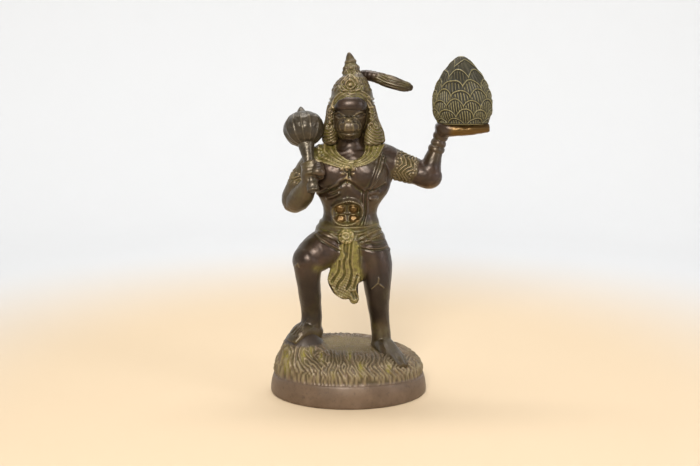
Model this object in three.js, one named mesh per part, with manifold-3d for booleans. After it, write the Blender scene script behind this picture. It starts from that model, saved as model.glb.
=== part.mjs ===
// A cast brass figure of a monkey-headed hero, in one casting with its oval plinth.
// He stands with one foot on the rocky mound, shoulders a mace with one hand and
// lifts a mountain on the palm of the other. His tail rises behind his back and
// its tuft curls over the crown.
// Millimetres, +Z up, the figure faces -Y, the origin is the centre of the underside.
import * as THREE from 'three';
import { mergeVertices } from 'three/addons/utils/BufferGeometryUtils.js';
import Module from 'manifold-3d';

// Driving sizes
const plinth = {
  halfWidth: 65.4,
  halfDepth: 52,
  wallHeight: 17,
  wallSwell: 1.6, // the wall is this much higher in front than at the ends
  wallLean: 2.4, // how far its upper edge leans in
  moundRise: 21, // from the wall's top to where the feet stand
  moundLean: 0.05, // rise gained for each millimetre to the left
  stoneRise: 9, // the stone that the bent leg's foot rests on
  ledge: 0.6, // between the wall and the foot of the mound
  strands: 18, // carved strands round the mound
  strandRelief: 0.9,
};
const figureHeight = 243; // from the standing level to the tip of the crown
const maceBall = { radius: 16.2, halfLength: 14, ribs: 12, ribDepth: 0.7 };
const maceHandle = { neckRadius: 5.7, radius: 4.2 };
const mountain = {
  halfWidth: 24.2,
  tallness: 2.23, // height over half width
  depthShare: 0.8,
  scalesAround: 12,
  scaleRows: 7,
  scaleRelief: 1.0,
  tipShift: 1.8, // how far the tip leans back towards the head
};
const wristRing = { count: 3, thickness: 1.5, proud: 0.5 };
const ornamentRelief = 1.3; // how far collar, belt and bands stand proud

// The pose is drawn on a grid of its own, with the standing level at 38 and the
// crown's tip 243 above it. It keeps its shares at any figure height.
const unit = figureHeight / 243;
const standingLevel = plinth.wallHeight + plinth.moundRise;
const posed = ([x, y, z, ...sizes]) => [
  x * unit,
  y * unit,
  (z - 38) * unit + standingLevel,
  ...sizes.map((s) => s * unit),
];

const wasm = await Module();
wasm.setup();

const front = new THREE.Vector3(0, -1, 0);
const up = new THREE.Vector3(0, 0, 1);
const smooth = THREE.MathUtils.smoothstep;
const bell = (distance, width) => Math.exp(-((distance / width) ** 2));

// A closed geometry as a solid that can be joined to the others.
function solid(geometry, weld = 1e-5) {
  geometry.deleteAttribute('normal');
  geometry.deleteAttribute('uv');
  const merged = mergeVertices(geometry, weld);
  const index = merged.index.array;
  const kept = [];
  for (let i = 0; i < index.length; i += 3) {
    const [a, b, c] = [index[i], index[i + 1], index[i + 2]];
    if (a !== b && b !== c && c !== a) kept.push(a, b, c);
  }
  return new wasm.Manifold(
    new wasm.Mesh({
      numProp: 3,
      vertProperties: new Float32Array(merged.attributes.position.array),
      triVerts: new Uint32Array(kept),
    }),
  );
}

// A skin over rings of points, with a pole at each end.
function skinOver(firstPole, rings, lastPole) {
  const around = rings[0].length;
  const at = (i, j) => 1 + i * around + (j % around);
  const end = 1 + rings.length * around;
  const faces = [];
  for (let j = 0; j < around; j += 1) {
    faces.push(0, at(0, j), at(0, j + 1));
    for (let i = 0; i + 1 < rings.length; i += 1) {
      faces.push(at(i, j), at(i + 1, j), at(i + 1, j + 1));
      faces.push(at(i, j), at(i + 1, j + 1), at(i, j + 1));
    }
    faces.push(end, at(rings.length - 1, j + 1), at(rings.length - 1, j));
  }
  const geometry = new THREE.BufferGeometry();
  geometry.setFromPoints([firstPole, ...rings.flat(), lastPole]);
  geometry.setIndex(faces);
  return geometry;
}

// A limb or a body: ovals carried along a curve of stations [x, y, z, half width,
// half depth]. relief(share, angle) is how far the surface stands out there, and
// square makes the oval fuller at its corners. carried turns the oval with the
// curve instead of keeping it towards facing.
function loft(stations, options) {
  const { steps, around, facing = front, square = 2, relief, domed = 0.45 } = options;
  const rows = stations.map(posed);
  const path = new THREE.CatmullRomCurve3(
    rows.map(([x, y, z]) => new THREE.Vector3(x, y, z)),
    false,
    'catmullrom',
  );
  const sizes = new THREE.SplineCurve(rows.map((row) => new THREE.Vector2(row[3], row[4])));
  const rings = [];
  const poles = [];
  let towards = facing;
  for (let i = 0; i <= steps; i += 1) {
    const share = i / steps;
    const centre = path.getPoint(share);
    const forward = path.getTangent(share);
    const { x: halfWidth, y: halfDepth } = sizes.getPoint(share);
    const side = new THREE.Vector3().crossVectors(forward, towards).normalize();
    const depth = new THREE.Vector3().crossVectors(side, forward);
    if (options.carried) towards = depth;
    const ring = Array.from({ length: around }, (_, j) => {
      const angle = (2 * Math.PI * j) / around;
      const [c, s] = [Math.cos(angle), Math.sin(angle)];
      const lift = relief ? relief(share, angle) * unit : 0;
      const wide = Math.sign(c) * Math.abs(c) ** (2 / square) * halfWidth + c * lift;
      const deep = Math.sign(s) * Math.abs(s) ** (2 / square) * halfDepth + s * lift;
      return centre.clone().addScaledVector(side, wide).addScaledVector(depth, deep);
    });
    rings.push(ring);
    const cap = domed * Math.min(halfWidth, halfDepth);
    if (i === 0) poles.push(centre.clone().addScaledVector(forward, -cap));
    if (i === steps) poles.push(centre.clone().addScaledVector(forward, cap));
  }
  return solid(skinOver(poles[0], rings, poles[1]));
}

// A ball squashed to half sizes [x, y, z] about a drawn centre.
function ellipsoid(centre, sizes, around = 12, rows = 6) {
  const [x, y, z] = posed(centre);
  const ball = new THREE.SphereGeometry(unit, around, rows);
  return solid(ball.rotateX(Math.PI / 2).scale(...sizes).translate(x, y, z));
}

// A ridged band on a closed line of points: tall is its half height and thick is
// how far it stands out from the line.
function closedBand(point, { steps, tall, thick }) {
  const line = new THREE.CatmullRomCurve3(
    Array.from({ length: steps }, (_, i) => point(i / steps)),
    true,
  );
  const middle = line.points
    .reduce((sum, p) => sum.add(p), new THREE.Vector3())
    .divideScalar(steps);
  const corners = [0, 120, 240].map(THREE.MathUtils.degToRad);
  const vertices = [];
  const faces = [];
  for (let i = 0; i < steps; i += 1) {
    const p = line.points[i];
    const forward = line.getTangent(i / steps);
    const out = new THREE.Vector3().subVectors(p, middle);
    out.addScaledVector(forward, -out.dot(forward)).normalize();
    const rise = new THREE.Vector3().crossVectors(forward, out);
    corners.forEach((angle, j) => {
      vertices.push(
        p
          .clone()
          .addScaledVector(out, Math.cos(angle) * thick)
          .addScaledVector(rise, Math.sin(angle) * tall * 1.15),
      );
      const next = (i + 1) % steps;
      const [a, b] = [i * 3 + j, i * 3 + ((j + 1) % 3)];
      const [d, c] = [next * 3 + j, next * 3 + ((j + 1) % 3)];
      faces.push(a, b, c, a, c, d);
    });
  }
  const geometry = new THREE.BufferGeometry();
  geometry.setFromPoints(vertices);
  geometry.setIndex(faces);
  return solid(geometry);
}

// Turns a shape made along +Y to stand at a point and run along a direction.
function stoodAt(geometry, point, direction) {
  const turn = new THREE.Quaternion().setFromUnitVectors(
    new THREE.Vector3(0, 1, 0),
    direction,
  );
  return geometry.applyQuaternion(turn).translate(point.x, point.y, point.z);
}

// Plinth and mound: one oval body, its top carved with winding strands.
function plinthAndMound() {
  const around = plinth.strands * 4;
  const { halfWidth, halfDepth, wallHeight, wallSwell, wallLean } = plinth;
  const wallTop = (angle) => wallHeight - wallSwell * Math.cos(2 * angle);
  const ring = (point) =>
    Array.from({ length: around }, (_, j) => point((-2 * Math.PI * j) / around));
  const wall = (inset, share) =>
    ring(
      (angle) =>
        new THREE.Vector3(
          (halfWidth - inset) * Math.cos(angle),
          (halfDepth - inset) * Math.sin(angle),
          wallTop(angle) * share,
        ),
    );
  const moundPoint = (share, angle) => {
    const inset = wallLean + plinth.ledge;
    const x = (halfWidth - inset) * share * Math.cos(angle);
    const y = (halfDepth - inset) * share * Math.sin(angle);
    const [stoneX, stoneY] = posed([-47, -13, 0]);
    const nearStone = bell(x - stoneX, 14 * unit) * bell(y - stoneY, 13 * unit);
    const lean = 1.05 - plinth.moundLean * (x / plinth.moundRise);
    const rise = plinth.moundRise * lean + plinth.stoneRise * nearStone;
    const dome = (1 - share ** 5) ** 0.36;
    const strand = Math.cos(
      plinth.strands * angle + 2 * Math.sin(3 * angle + 4 * share) + 3 * share,
    );
    const fade = smooth(share, 0.5, 0.8) * (1 - smooth(share, 0.97, 1));
    const base = THREE.MathUtils.lerp(wallHeight, wallTop(angle), share);
    return new THREE.Vector3(
      x,
      y,
      base + rise * dome + plinth.strandRelief * strand * fade,
    );
  };
  const rings = [
    wall(0.5, 0),
    wall(0, 0.12),
    wall(0.3, 0.62),
    wall(wallLean, 1),
    ...[0.998, 0.975, 0.92, 0.82, 0.66, 0.4].map((share) =>
      ring((angle) => moundPoint(share, angle)),
    ),
  ];
  return solid(skinOver(new THREE.Vector3(0, 0, 0), rings, moundPoint(0, 0)));
}

// Trunk from the crotch to the neck. Angle 90 degrees is the front.
function trunk() {
  const stations = [
    [2, 1, 111, 19, 11],
    [1.5, 1, 119, 26, 15.5],
    [0.8, 0.5, 127, 29.5, 17],
    [0.8, 0, 135, 28.5, 17.2],
    [1.4, 0, 143, 24, 16],
    [1.4, 0, 151, 22, 14.2],
    [1.6, -0.5, 159, 23.6, 14.8],
    [2, -1, 167, 28, 16.2],
    [2.5, -1.5, 175, 32, 17.6],
    [2.2, -1.5, 183, 34, 18],
    [2, -1, 191, 34, 17.2],
    [2, 0, 199, 31, 14.5],
    [2.1, 0, 205, 22, 12.5],
    [2.1, -1.5, 210, 12.5, 11],
    [1.8, -2, 216, 11, 10.5],
    [1.5, -2, 224, 11, 10.5],
  ];
  const chest = 9.2 / 15; // share along the stations at the middle of the chest
  const relief = (share, angle) => {
    const toFront = Math.max(0, Math.sin(angle));
    const across = Math.cos(angle);
    const breast =
      bell(share - chest, 0.055) * bell(Math.abs(across) - 0.42, 0.28);
    const arch = bell(share - chest + 0.085, 0.03) * bell(across, 0.75);
    const midline = bell(across, 0.12) * bell(share - 0.6, 0.14);
    const spine = bell(across, 0.16) * bell(share - 0.5, 0.25);
    const carved = 3.2 * breast - 1.6 * arch - 1.6 * midline;
    return angle < Math.PI ? carved * toFront ** 1.5 : -1.6 * spine;
  };
  return loft(stations, { steps: 21, around: 22, square: 2.3, relief });
}

// The leg that carries him, and its foot.
function standingLeg() {
  const leg = loft(
    [
      [13, 1, 131, 14, 15.5],
      [19, 0, 120, 14.5, 15.5],
      [22.6, -1, 109, 13.6, 14.6],
      [23.6, -2, 99, 12.4, 13.2],
      [23.9, -2.5, 91, 11.3, 12],
      [24.4, -1, 82, 10.2, 11.4],
      [25, 0.8, 73, 9.2, 11],
      [25.9, 1.8, 64, 8.3, 9.4],
      [26.7, 2, 56, 8.1, 8.6],
      [27.4, 1.5, 48, 8.2, 8.8],
      [28, 1, 38, 8.6, 9.4],
      [28, 1, 30, 8.6, 9.4],
    ],
    { steps: 11, around: 12 },
  );
  return [
    leg,
    ...foot([
      [25.2, 9, 35, 6.5, 6.5],
      [27.2, 2, 37, 8.2, 10],
      [30.5, -6, 37.5, 8.6, 8.4],
      [34.6, -15, 35, 9.4, 5.6],
      [38.8, -24, 32, 9.8, 4],
      [41.8, -31, 29.5, 8, 3],
    ]),
  ];
}

// The bent leg, its knee raised to the side and its foot high on the mound.
function bentLeg() {
  const thigh = loft(
    [
      [-3, 3, 127, 15, 15],
      [-13, -2, 125.5, 17, 17],
      [-21, -7.5, 122.5, 17, 17],
      [-27, -12, 120, 16, 16],
      [-31, -15.5, 118, 13.6, 13.6],
    ],
    { steps: 5, around: 14 },
  );
  const shin = loft(
    [
      [-32.2, -16, 117, 11.5, 11.5],
      [-32.6, -16.5, 112, 12.2, 12],
      [-32.8, -15.8, 104, 10.8, 11.6],
      [-32.4, -13.5, 94, 9.6, 11],
      [-31.6, -11, 84, 9.2, 10.4],
      [-30.8, -9, 74, 8.6, 9],
      [-30.4, -8, 66, 8.5, 8.8],
      [-30.9, -8, 58, 8.8, 9.4],
      [-31, -7.5, 50, 9, 10.4],
      [-31, -7, 42, 9, 10.4],
      [-31, -7, 34, 9, 10.4],
    ],
    { steps: 11, around: 12 },
  );
  return [
    thigh,
    shin,
    ...foot([
      [-23.5, -3.5, 44, 6.5, 6],
      [-30, -7.5, 48, 8.4, 11],
      [-37, -10.6, 50.4, 8.4, 9.6],
      [-43.4, -13.4, 49.6, 8.8, 7.6],
      [-48.8, -16, 47, 8.8, 5.2],
      [-53, -18.4, 44.6, 7.6, 3.4],
    ]),
  ];
}

// A foot from heel to toes, with its five toes parted at the front.
function foot(stations) {
  const relief = (share, angle) =>
    0.9 * smooth(share, 0.72, 0.9) * Math.max(0, Math.sin(angle)) *
    Math.cos(10 * angle);
  return [loft(stations, { steps: 6, around: 20, facing: up, square: 2.4, relief })];
}

// The arm that holds the mace: down to the elbow and back up to the fist.
function maceArm() {
  const upper = loft(
    [
      [-15, 1, 196.5, 12.5, 13],
      [-21.5, 0.6, 194, 13.2, 13.4],
      [-27.6, 0, 190, 12.4, 13],
      [-34.6, -1.4, 180.4, 11.8, 12.4],
      [-39, -2.8, 172.6, 11.5, 12],
      [-42.4, -4.2, 166, 11.2, 11.4],
      [-44.2, -5.4, 160.8, 10.6, 10.6],
      [-45, -6.4, 155.6, 7.6, 7.6],
    ],
    { steps: 9, around: 14 },
  );
  const fore = loft(
    [
      [-44, -6, 160.5, 9, 9],
      [-40.5, -11.5, 163.5, 9.4, 9.4],
      [-36, -17.5, 169, 8.8, 8.8],
      [-32, -22.5, 176, 7, 7],
      [-29.5, -25.5, 182, 5.6, 5.8],
    ],
    { steps: 6, around: 12 },
  );
  return [upper, fore];
}

// The arm that carries the mountain: out to the elbow and up to the wrist.
function liftedArm() {
  const upper = loft(
    [
      [16, 1, 195, 14, 13],
      [25, 1, 195, 13.8, 13],
      [33, 0.8, 192.8, 12.8, 12.4],
      [41, 0.5, 189.6, 11.5, 11.5],
      [49, 0, 187, 10.8, 11],
      [57, -0.5, 184.4, 10.6, 10.8],
      [64.5, -1, 182, 10.6, 10.6],
      [69.6, -1, 180.6, 7.6, 7.6],
    ],
    { steps: 9, around: 14 },
  );
  const fore = loft(
    [
      [65.5, -1, 181.5, 9.6, 9.6],
      [66.5, -1.2, 187, 9.4, 9.8],
      [68, -1.6, 193, 7.8, 8.8],
      [69.8, -2, 199, 6.6, 7.2],
      [71.8, -2, 205, 5.9, 6],
      [73.8, -2, 211, 5.4, 5.4],
      [75.6, -2, 218, 5.8, 6],
    ],
    { steps: 8, around: 12 },
  );
  return [upper, fore, ...wristRings(), palm()];
}

// Rings round the wrist, evenly spaced between two drawn points.
function wristRings() {
  const [low, high] = [posed([71.6, -2, 203.5]), posed([74.6, -2, 213.5])].map(
    (p) => new THREE.Vector3(...p),
  );
  const along = new THREE.Vector3().subVectors(high, low).normalize();
  return Array.from({ length: wristRing.count }, (_, i) => {
    const share = i / Math.max(1, wristRing.count - 1);
    const radius = (6 - 0.6 * share) * unit + wristRing.proud - 0.4;
    const ring = new THREE.TorusGeometry(radius, wristRing.thickness, 4, 12);
    const centre = low.clone().lerp(high, share);
    return solid(stoodAt(ring.rotateX(Math.PI / 2), centre, along));
  });
}

// The open hand, bent back, with its four fingers together under the mountain.
function palm() {
  const relief = (share, angle) =>
    0.5 * smooth(share, 0.35, 0.7) * Math.cos(8 * angle);
  return loft(
    [
      [70.8, -2, 218.6, 5, 3.4],
      [74.5, -2, 218.2, 9, 5],
      [80.5, -2, 217.8, 12, 5.3],
      [88.5, -2, 217.9, 13, 5],
      [97, -2, 218.3, 12.6, 4.5],
      [105.5, -2, 218.8, 11.8, 4],
      [112.5, -2, 219.4, 10.8, 3.4],
    ],
    { steps: 7, around: 16, facing: up, square: 3, relief, domed: 0.2 },
  );
}

// The mountain: an egg-shaped peak covered in rows of overlapping scales.
function mountainPeak() {
  const base = new THREE.Vector3(...posed([92.2, -2, 222]));
  const outline = new THREE.SplineCurve(
    [
      [0.8, 0],
      [0.83, 0.05],
      [0.95, 0.14],
      [1, 0.27],
      [0.965, 0.41],
      [0.87, 0.55],
      [0.71, 0.69],
      [0.5, 0.82],
      [0.25, 0.94],
      [0.1, 0.99],
    ].map(([wide, high]) => new THREE.Vector2(wide, high)),
  );
  const profile = outline.getPoints(2 * mountain.scaleRows + 1);
  const peak = new THREE.LatheGeometry(
    [new THREE.Vector2(0, 0), ...profile, new THREE.Vector2(0, 1)],
    mountain.scalesAround * 2,
  );
  const { position } = peak.attributes;
  const rows = profile.length + 2;
  for (let k = 0; k < position.count; k += 1) {
    const [x, share, z] = [position.getX(k), position.getY(k), position.getZ(k)];
    const row = (k % rows) - 1;
    const round = Math.atan2(z, x) * mountain.scalesAround;
    const scale = Math.cos(round + Math.floor(row / 2) * Math.PI) * (row % 2 ? 1 : -1);
    const carved = row > 0 && share < 0.9 ? (mountain.scaleRelief / 2) * scale : 0;
    const grown = mountain.halfWidth + carved / Math.max(0.1, Math.hypot(x, z));
    position.setXYZ(
      k,
      x * grown - mountain.tipShift * share,
      -z * grown * mountain.depthShare,
      share * mountain.halfWidth * mountain.tallness,
    );
  }
  return solid(peak.translate(base.x, base.y, base.z));
}

// The mace: a ribbed ball with a knob, on a handle that passes through the fist.
function mace() {
  const ball = new THREE.Vector3(...posed([-35.6, -10, 220.3]));
  const foot = new THREE.Vector3(...posed([-27.6, -30.5, 173]));
  const down = new THREE.Vector3().subVectors(foot, ball);
  const length = down.length();
  down.normalize();
  const { radius, halfLength, ribs, ribDepth } = maceBall;
  const head = new THREE.SphereGeometry(radius, ribs * 2, 8);
  const { position } = head.attributes;
  for (let k = 0; k < position.count; k += 1) {
    const [x, y, z] = [position.getX(k), position.getY(k), position.getZ(k)];
    const wide = Math.hypot(x, z);
    const groove = wide > radius * 0.35 && Math.cos(Math.atan2(z, x) * ribs) < 0;
    const kept = groove ? 1 - ribDepth / wide : 1;
    position.setXYZ(k, x * kept, (y * halfLength) / radius, z * kept);
  }
  const turned = (profile, sides) =>
    new THREE.LatheGeometry(
      profile.map(([r, y]) => new THREE.Vector2(r, y)),
      sides,
    );
  const knob = turned(
    [
      [0, 0],
      [4, 0],
      [3.8, 2],
      [2.8, 3.6],
      [1.6, 5.4],
      [0, 6.4],
    ].map(([r, y]) => [r * unit, y * unit]),
    8,
  );
  const handle = turned(
    [
      [0, halfLength * 0.64],
      [maceHandle.neckRadius, halfLength * 0.64],
      [maceHandle.neckRadius, halfLength * 1.07],
      [maceHandle.radius * 1.2, halfLength * 1.5],
      [maceHandle.radius, halfLength * 1.93],
      [maceHandle.radius, length * 0.82],
      [maceHandle.radius * 1.1, length * 0.93],
      [maceHandle.radius * 1.2, length],
      [0, length * 1.01],
    ],
    10,
  );
  const knobAt = ball.clone().addScaledVector(down, unit - halfLength);
  const grip = ball.clone().addScaledVector(down, length * 0.655);
  return [
    solid(stoodAt(head, ball, down)),
    solid(stoodAt(knob, knobAt, down.clone().negate())),
    solid(stoodAt(handle, ball, down)),
    ...fist(grip, down),
  ];
}

// Four fingers round the handle, stacked along it, and the back of the hand.
function fist(centre, down) {
  const side = new THREE.Vector3().crossVectors(down, front).normalize();
  const deep = new THREE.Vector3().crossVectors(side, down);
  const [finger, pitch] = [1.7 * unit, 2.6 * unit];
  const wrap = maceHandle.radius + finger * 0.6;
  const turns = 5;
  const fingers = [-1.5, -0.5, 0.5, 1.5].map((place) => {
    const middle = centre.clone().addScaledVector(down, place * pitch);
    const rings = Array.from({ length: turns + 1 }, (_, i) => {
      const turn = THREE.MathUtils.degToRad(-50 + (225 * i) / turns);
      const out = new THREE.Vector3()
        .addScaledVector(side, Math.cos(turn))
        .addScaledVector(deep, Math.sin(turn));
      const reach = wrap * (1 + 0.5 * Math.max(0, -Math.cos(turn)));
      const thin = i === 0 || i === turns ? 0.7 : 1;
      return Array.from({ length: 6 }, (__, j) => {
        const angle = (-Math.PI * j) / 3;
        return middle
          .clone()
          .addScaledVector(out, reach + finger * thin * Math.cos(angle))
          .addScaledVector(down, finger * thin * Math.sin(angle));
      });
    });
    const mean = (ring) =>
      ring
        .reduce((sum, p) => sum.add(p), new THREE.Vector3())
        .divideScalar(ring.length);
    return solid(skinOver(mean(rings[0]), rings, mean(rings[turns])));
  });
  const backOfHand = ellipsoid([-31.4, -25, 184.5], [6.4, 5.4, 8.8], 9, 5);
  const palmOfHand = ellipsoid([-25.4, -24, 187.6], [6, 5, 5.6], 8, 4);
  return [...fingers, backOfHand, palmOfHand];
}

// Head with brow, deep-set eyes, muzzle and ears, its hair and its crown.
function head() {
  const stations = [
    [0.8, -6, 209, 7, 10],
    [0.8, -7, 213.5, 9, 14],
    [0.6, -6.5, 218, 11.4, 18.7],
    [0.6, -6, 222.5, 12.8, 20],
    [1, -4, 227, 13.6, 18.6],
    [1.3, -2.5, 231, 14, 16.8],
    [1.5, -2.2, 235, 14.6, 18.4],
    [1.7, -1.8, 240, 15, 19.2],
    [1.9, -1.4, 245, 15.6, 18.4],
    [2, -1, 250, 15.6, 16.5],
  ];
  const relief = (share, angle) => {
    const station = share * (stations.length - 1);
    const across = Math.abs(Math.cos(angle));
    const toFront = smooth(Math.sin(angle), 0, 0.5);
    const muzzleSide = bell(across - 0.66, 0.2) * bell(station - 2.6, 1.5);
    const eye = bell(across - 0.4, 0.17) * bell(station - 5.1, 0.6);
    const nose = bell(across, 0.13) * bell(station - 4.4, 0.8);
    const mouth = bell(across, 0.4) * bell(station - 2.1, 0.3);
    return toFront * (1.6 * nose - 3.4 * muzzleSide - 1.6 * eye - 0.8 * mouth);
  };
  const skull = loft(stations, { steps: 18, around: 24, relief });
  const ears = [
    ellipsoid([-14.4, -4, 229], [3, 4.4, 6.4], 8, 5),
    ellipsoid([17.6, -4, 229], [3, 4.4, 6.4], 8, 5),
  ];
  return [skull, ...ears, ...hair(), ...crown()];
}

// Hair: a mass at the back and a lock on each side, ending in nested curls.
function hair() {
  const curls = (share, angle) =>
    0.9 * Math.cos(8 * Math.PI * share) * smooth(share, 0.3, 0.6) +
    0.3 * Math.cos(5 * angle);
  const left = loft(
    [
      [-10.4, -1, 244, 3.6, 12],
      [-12.2, -2, 235, 3.8, 11],
      [-13.6, -3.5, 227, 4.2, 9.6],
      [-15.2, -4, 218.5, 5.2, 9],
      [-15.6, -4, 211.5, 5.4, 7.6],
    ],
    { steps: 12, around: 10, relief: curls },
  );
  const right = loft(
    [
      [14.8, -1, 244, 4, 12],
      [16.4, -2, 235, 4.8, 11],
      [18, -3.5, 226.5, 5.2, 9.6],
      [21.2, -4, 218, 6.4, 9],
      [22.8, -4, 211, 6.8, 7.6],
    ],
    { steps: 12, around: 10, relief: curls },
  );
  const back = loft(
    [
      [2.4, 6, 250, 14, 11],
      [2.6, 7.5, 240, 17, 12.5],
      [2.8, 8, 229, 19, 12],
      [3.4, 8, 218, 21.5, 11],
      [3.8, 8.5, 208, 22.5, 9.5],
      [3.8, 9, 201, 19, 7.5],
    ],
    {
      steps: 6,
      around: 24,
      relief: (share, angle) => 0.8 * Math.cos(12 * angle) * smooth(share, 0.1, 0.3),
    },
  );
  return [left, right, back];
}

// Crown: a tall cap with two bands over the brow, a jewel and a stacked finial.
function crown() {
  const cap = loft(
    [
      [2.6, 1, 240, 16.4, 17.5],
      [2.9, 1, 245, 17, 18],
      [2.8, 1.2, 251, 15.8, 16.8],
      [3, 1.6, 256.5, 13.2, 14.2],
      [2.8, 2.2, 261, 10, 11],
      [2.4, 2.8, 264, 7.2, 8],
      [2.2, 3, 265.8, 7.5, 7.8],
      [2, 3.2, 268.4, 5.6, 5.8],
      [1.9, 3.6, 270.6, 4.3, 4.4],
      [1.7, 3.7, 272.4, 4.9, 4.9],
      [1.3, 3.8, 274.6, 3.7, 3.7],
      [0.8, 4, 277.6, 2.7, 2.7],
      [0.4, 4, 280.2, 1.4, 1.4],
    ],
    { steps: 16, around: 14, domed: 0.5 },
  );
  const bandAt = (level) => (turn) => {
    const angle = 2 * Math.PI * turn;
    const toFront = Math.max(0, -Math.sin(angle));
    return new THREE.Vector3(
      ...posed([
        2.6 + 16.8 * Math.cos(angle),
        0.5 + 18.2 * Math.sin(angle),
        level + 6.5 * toFront ** 2,
      ]),
    );
  };
  const size = { steps: 18, tall: 1.3 * unit, thick: ornamentRelief };
  const jewel = ellipsoid([1.8, -13, 255], [6, 3, 6.6], 8, 4);
  const stone = ellipsoid([1.8, -15.4, 255], [2, 1.8, 2.6], 6, 4);
  return [
    cap,
    closedBand(bandAt(241), size),
    closedBand(bandAt(244.6), size),
    jewel,
    stone,
  ];
}

// Tail: from the small of the back, up behind the hair and over the crown.
function tail() {
  return loft(
    [
      [2, 10, 132, 4.6, 4.6],
      [2.4, 20, 129, 4.4, 4.4],
      [3, 26.6, 134, 4.1, 4.1],
      [3.2, 28.4, 146, 3.9, 3.9],
      [3.4, 26.6, 163, 3.8, 3.8],
      [3.4, 24.6, 181, 3.7, 3.7],
      [3.4, 23.8, 199, 3.6, 3.6],
      [3.6, 24.4, 217, 3.5, 3.5],
      [4, 24, 235, 3.4, 3.4],
      [5, 20.6, 250, 3.2, 3.2],
      [7.4, 14.6, 259.6, 3, 3],
      [11.4, 9, 263.4, 3, 3],
      [18, 6, 263.4, 3.2, 3.2],
      [26, 4, 260.6, 4.4, 4],
      [34, 2, 257.6, 5, 4.4],
      [42.5, 0.8, 255.2, 4, 3.6],
      [49, 0, 254, 2.2, 2.2],
    ],
    {
      steps: 28,
      around: 8,
      facing: up,
      carried: true,
      relief: (share, angle) => 0.4 * smooth(share, 0.78, 0.86) * Math.cos(4 * angle),
    },
  );
}

// Cloth: hip wrap with its hems, belt and knot, and the flap that hangs in front.
function cloth() {
  const hem = (cx, cy, cz, rx, ry, dip, tilt) => (turn) => {
    const angle = 2 * Math.PI * turn;
    return new THREE.Vector3(
      ...posed([
        cx + rx * Math.cos(angle),
        cy + ry * Math.sin(angle),
        cz + dip * Math.sin(angle) + tilt * Math.cos(angle),
      ]),
    );
  };
  const size = { steps: 18, tall: 1.4 * unit, thick: ornamentRelief };
  const flap = loft(
    [
      [0.8, -15, 136, 6, 3],
      [0.6, -16.4, 129, 8, 3.4],
      [-0.4, -16, 121, 9.6, 3.2],
      [-1.4, -15, 112, 11, 3],
      [-2.8, -14, 104, 12.6, 2.8],
      [-4, -13.5, 97, 13, 2.8],
      [-4.2, -13.5, 90, 10.4, 2.8],
      [-4.4, -14, 84.5, 6.4, 2.6],
      [-5, -14, 82.5, 3, 2],
    ],
    {
      steps: 10,
      around: 22,
      square: 3,
      relief: (share, angle) =>
        0.9 * Math.cos(11 * angle) * smooth(share, 0.05, 0.25) * Math.abs(Math.sin(angle)),
    },
  );
  const lobe = loft(
    [
      [5.4, -14.5, 100, 3.4, 2.6],
      [4.8, -14, 92, 3.2, 2.6],
      [4.4, -14, 86, 3.6, 2.6],
      [4.8, -14, 81, 4, 2.6],
      [5.6, -14, 78.6, 2.6, 2],
    ],
    { steps: 6, around: 10, square: 2.6 },
  );
  const web = ellipsoid([5.5, -7, 109], [12.5, 8.5, 16], 12, 6);
  return [
    closedBand(hem(1.2, 0, 143.6, 23.8, 16.4, 2.4, 0), size),
    closedBand(hem(1.1, 0, 139, 26.2, 17.2, 3, 0), size),
    closedBand(hem(20, -0.4, 120.5, 14.4, 15.4, 1.2, 0.6), size),
    ellipsoid([0, -17.4, 134.4], [6.4, 3.6, 6.4], 12, 5),
    flap,
    lobe,
    web,
  ];
}

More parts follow.
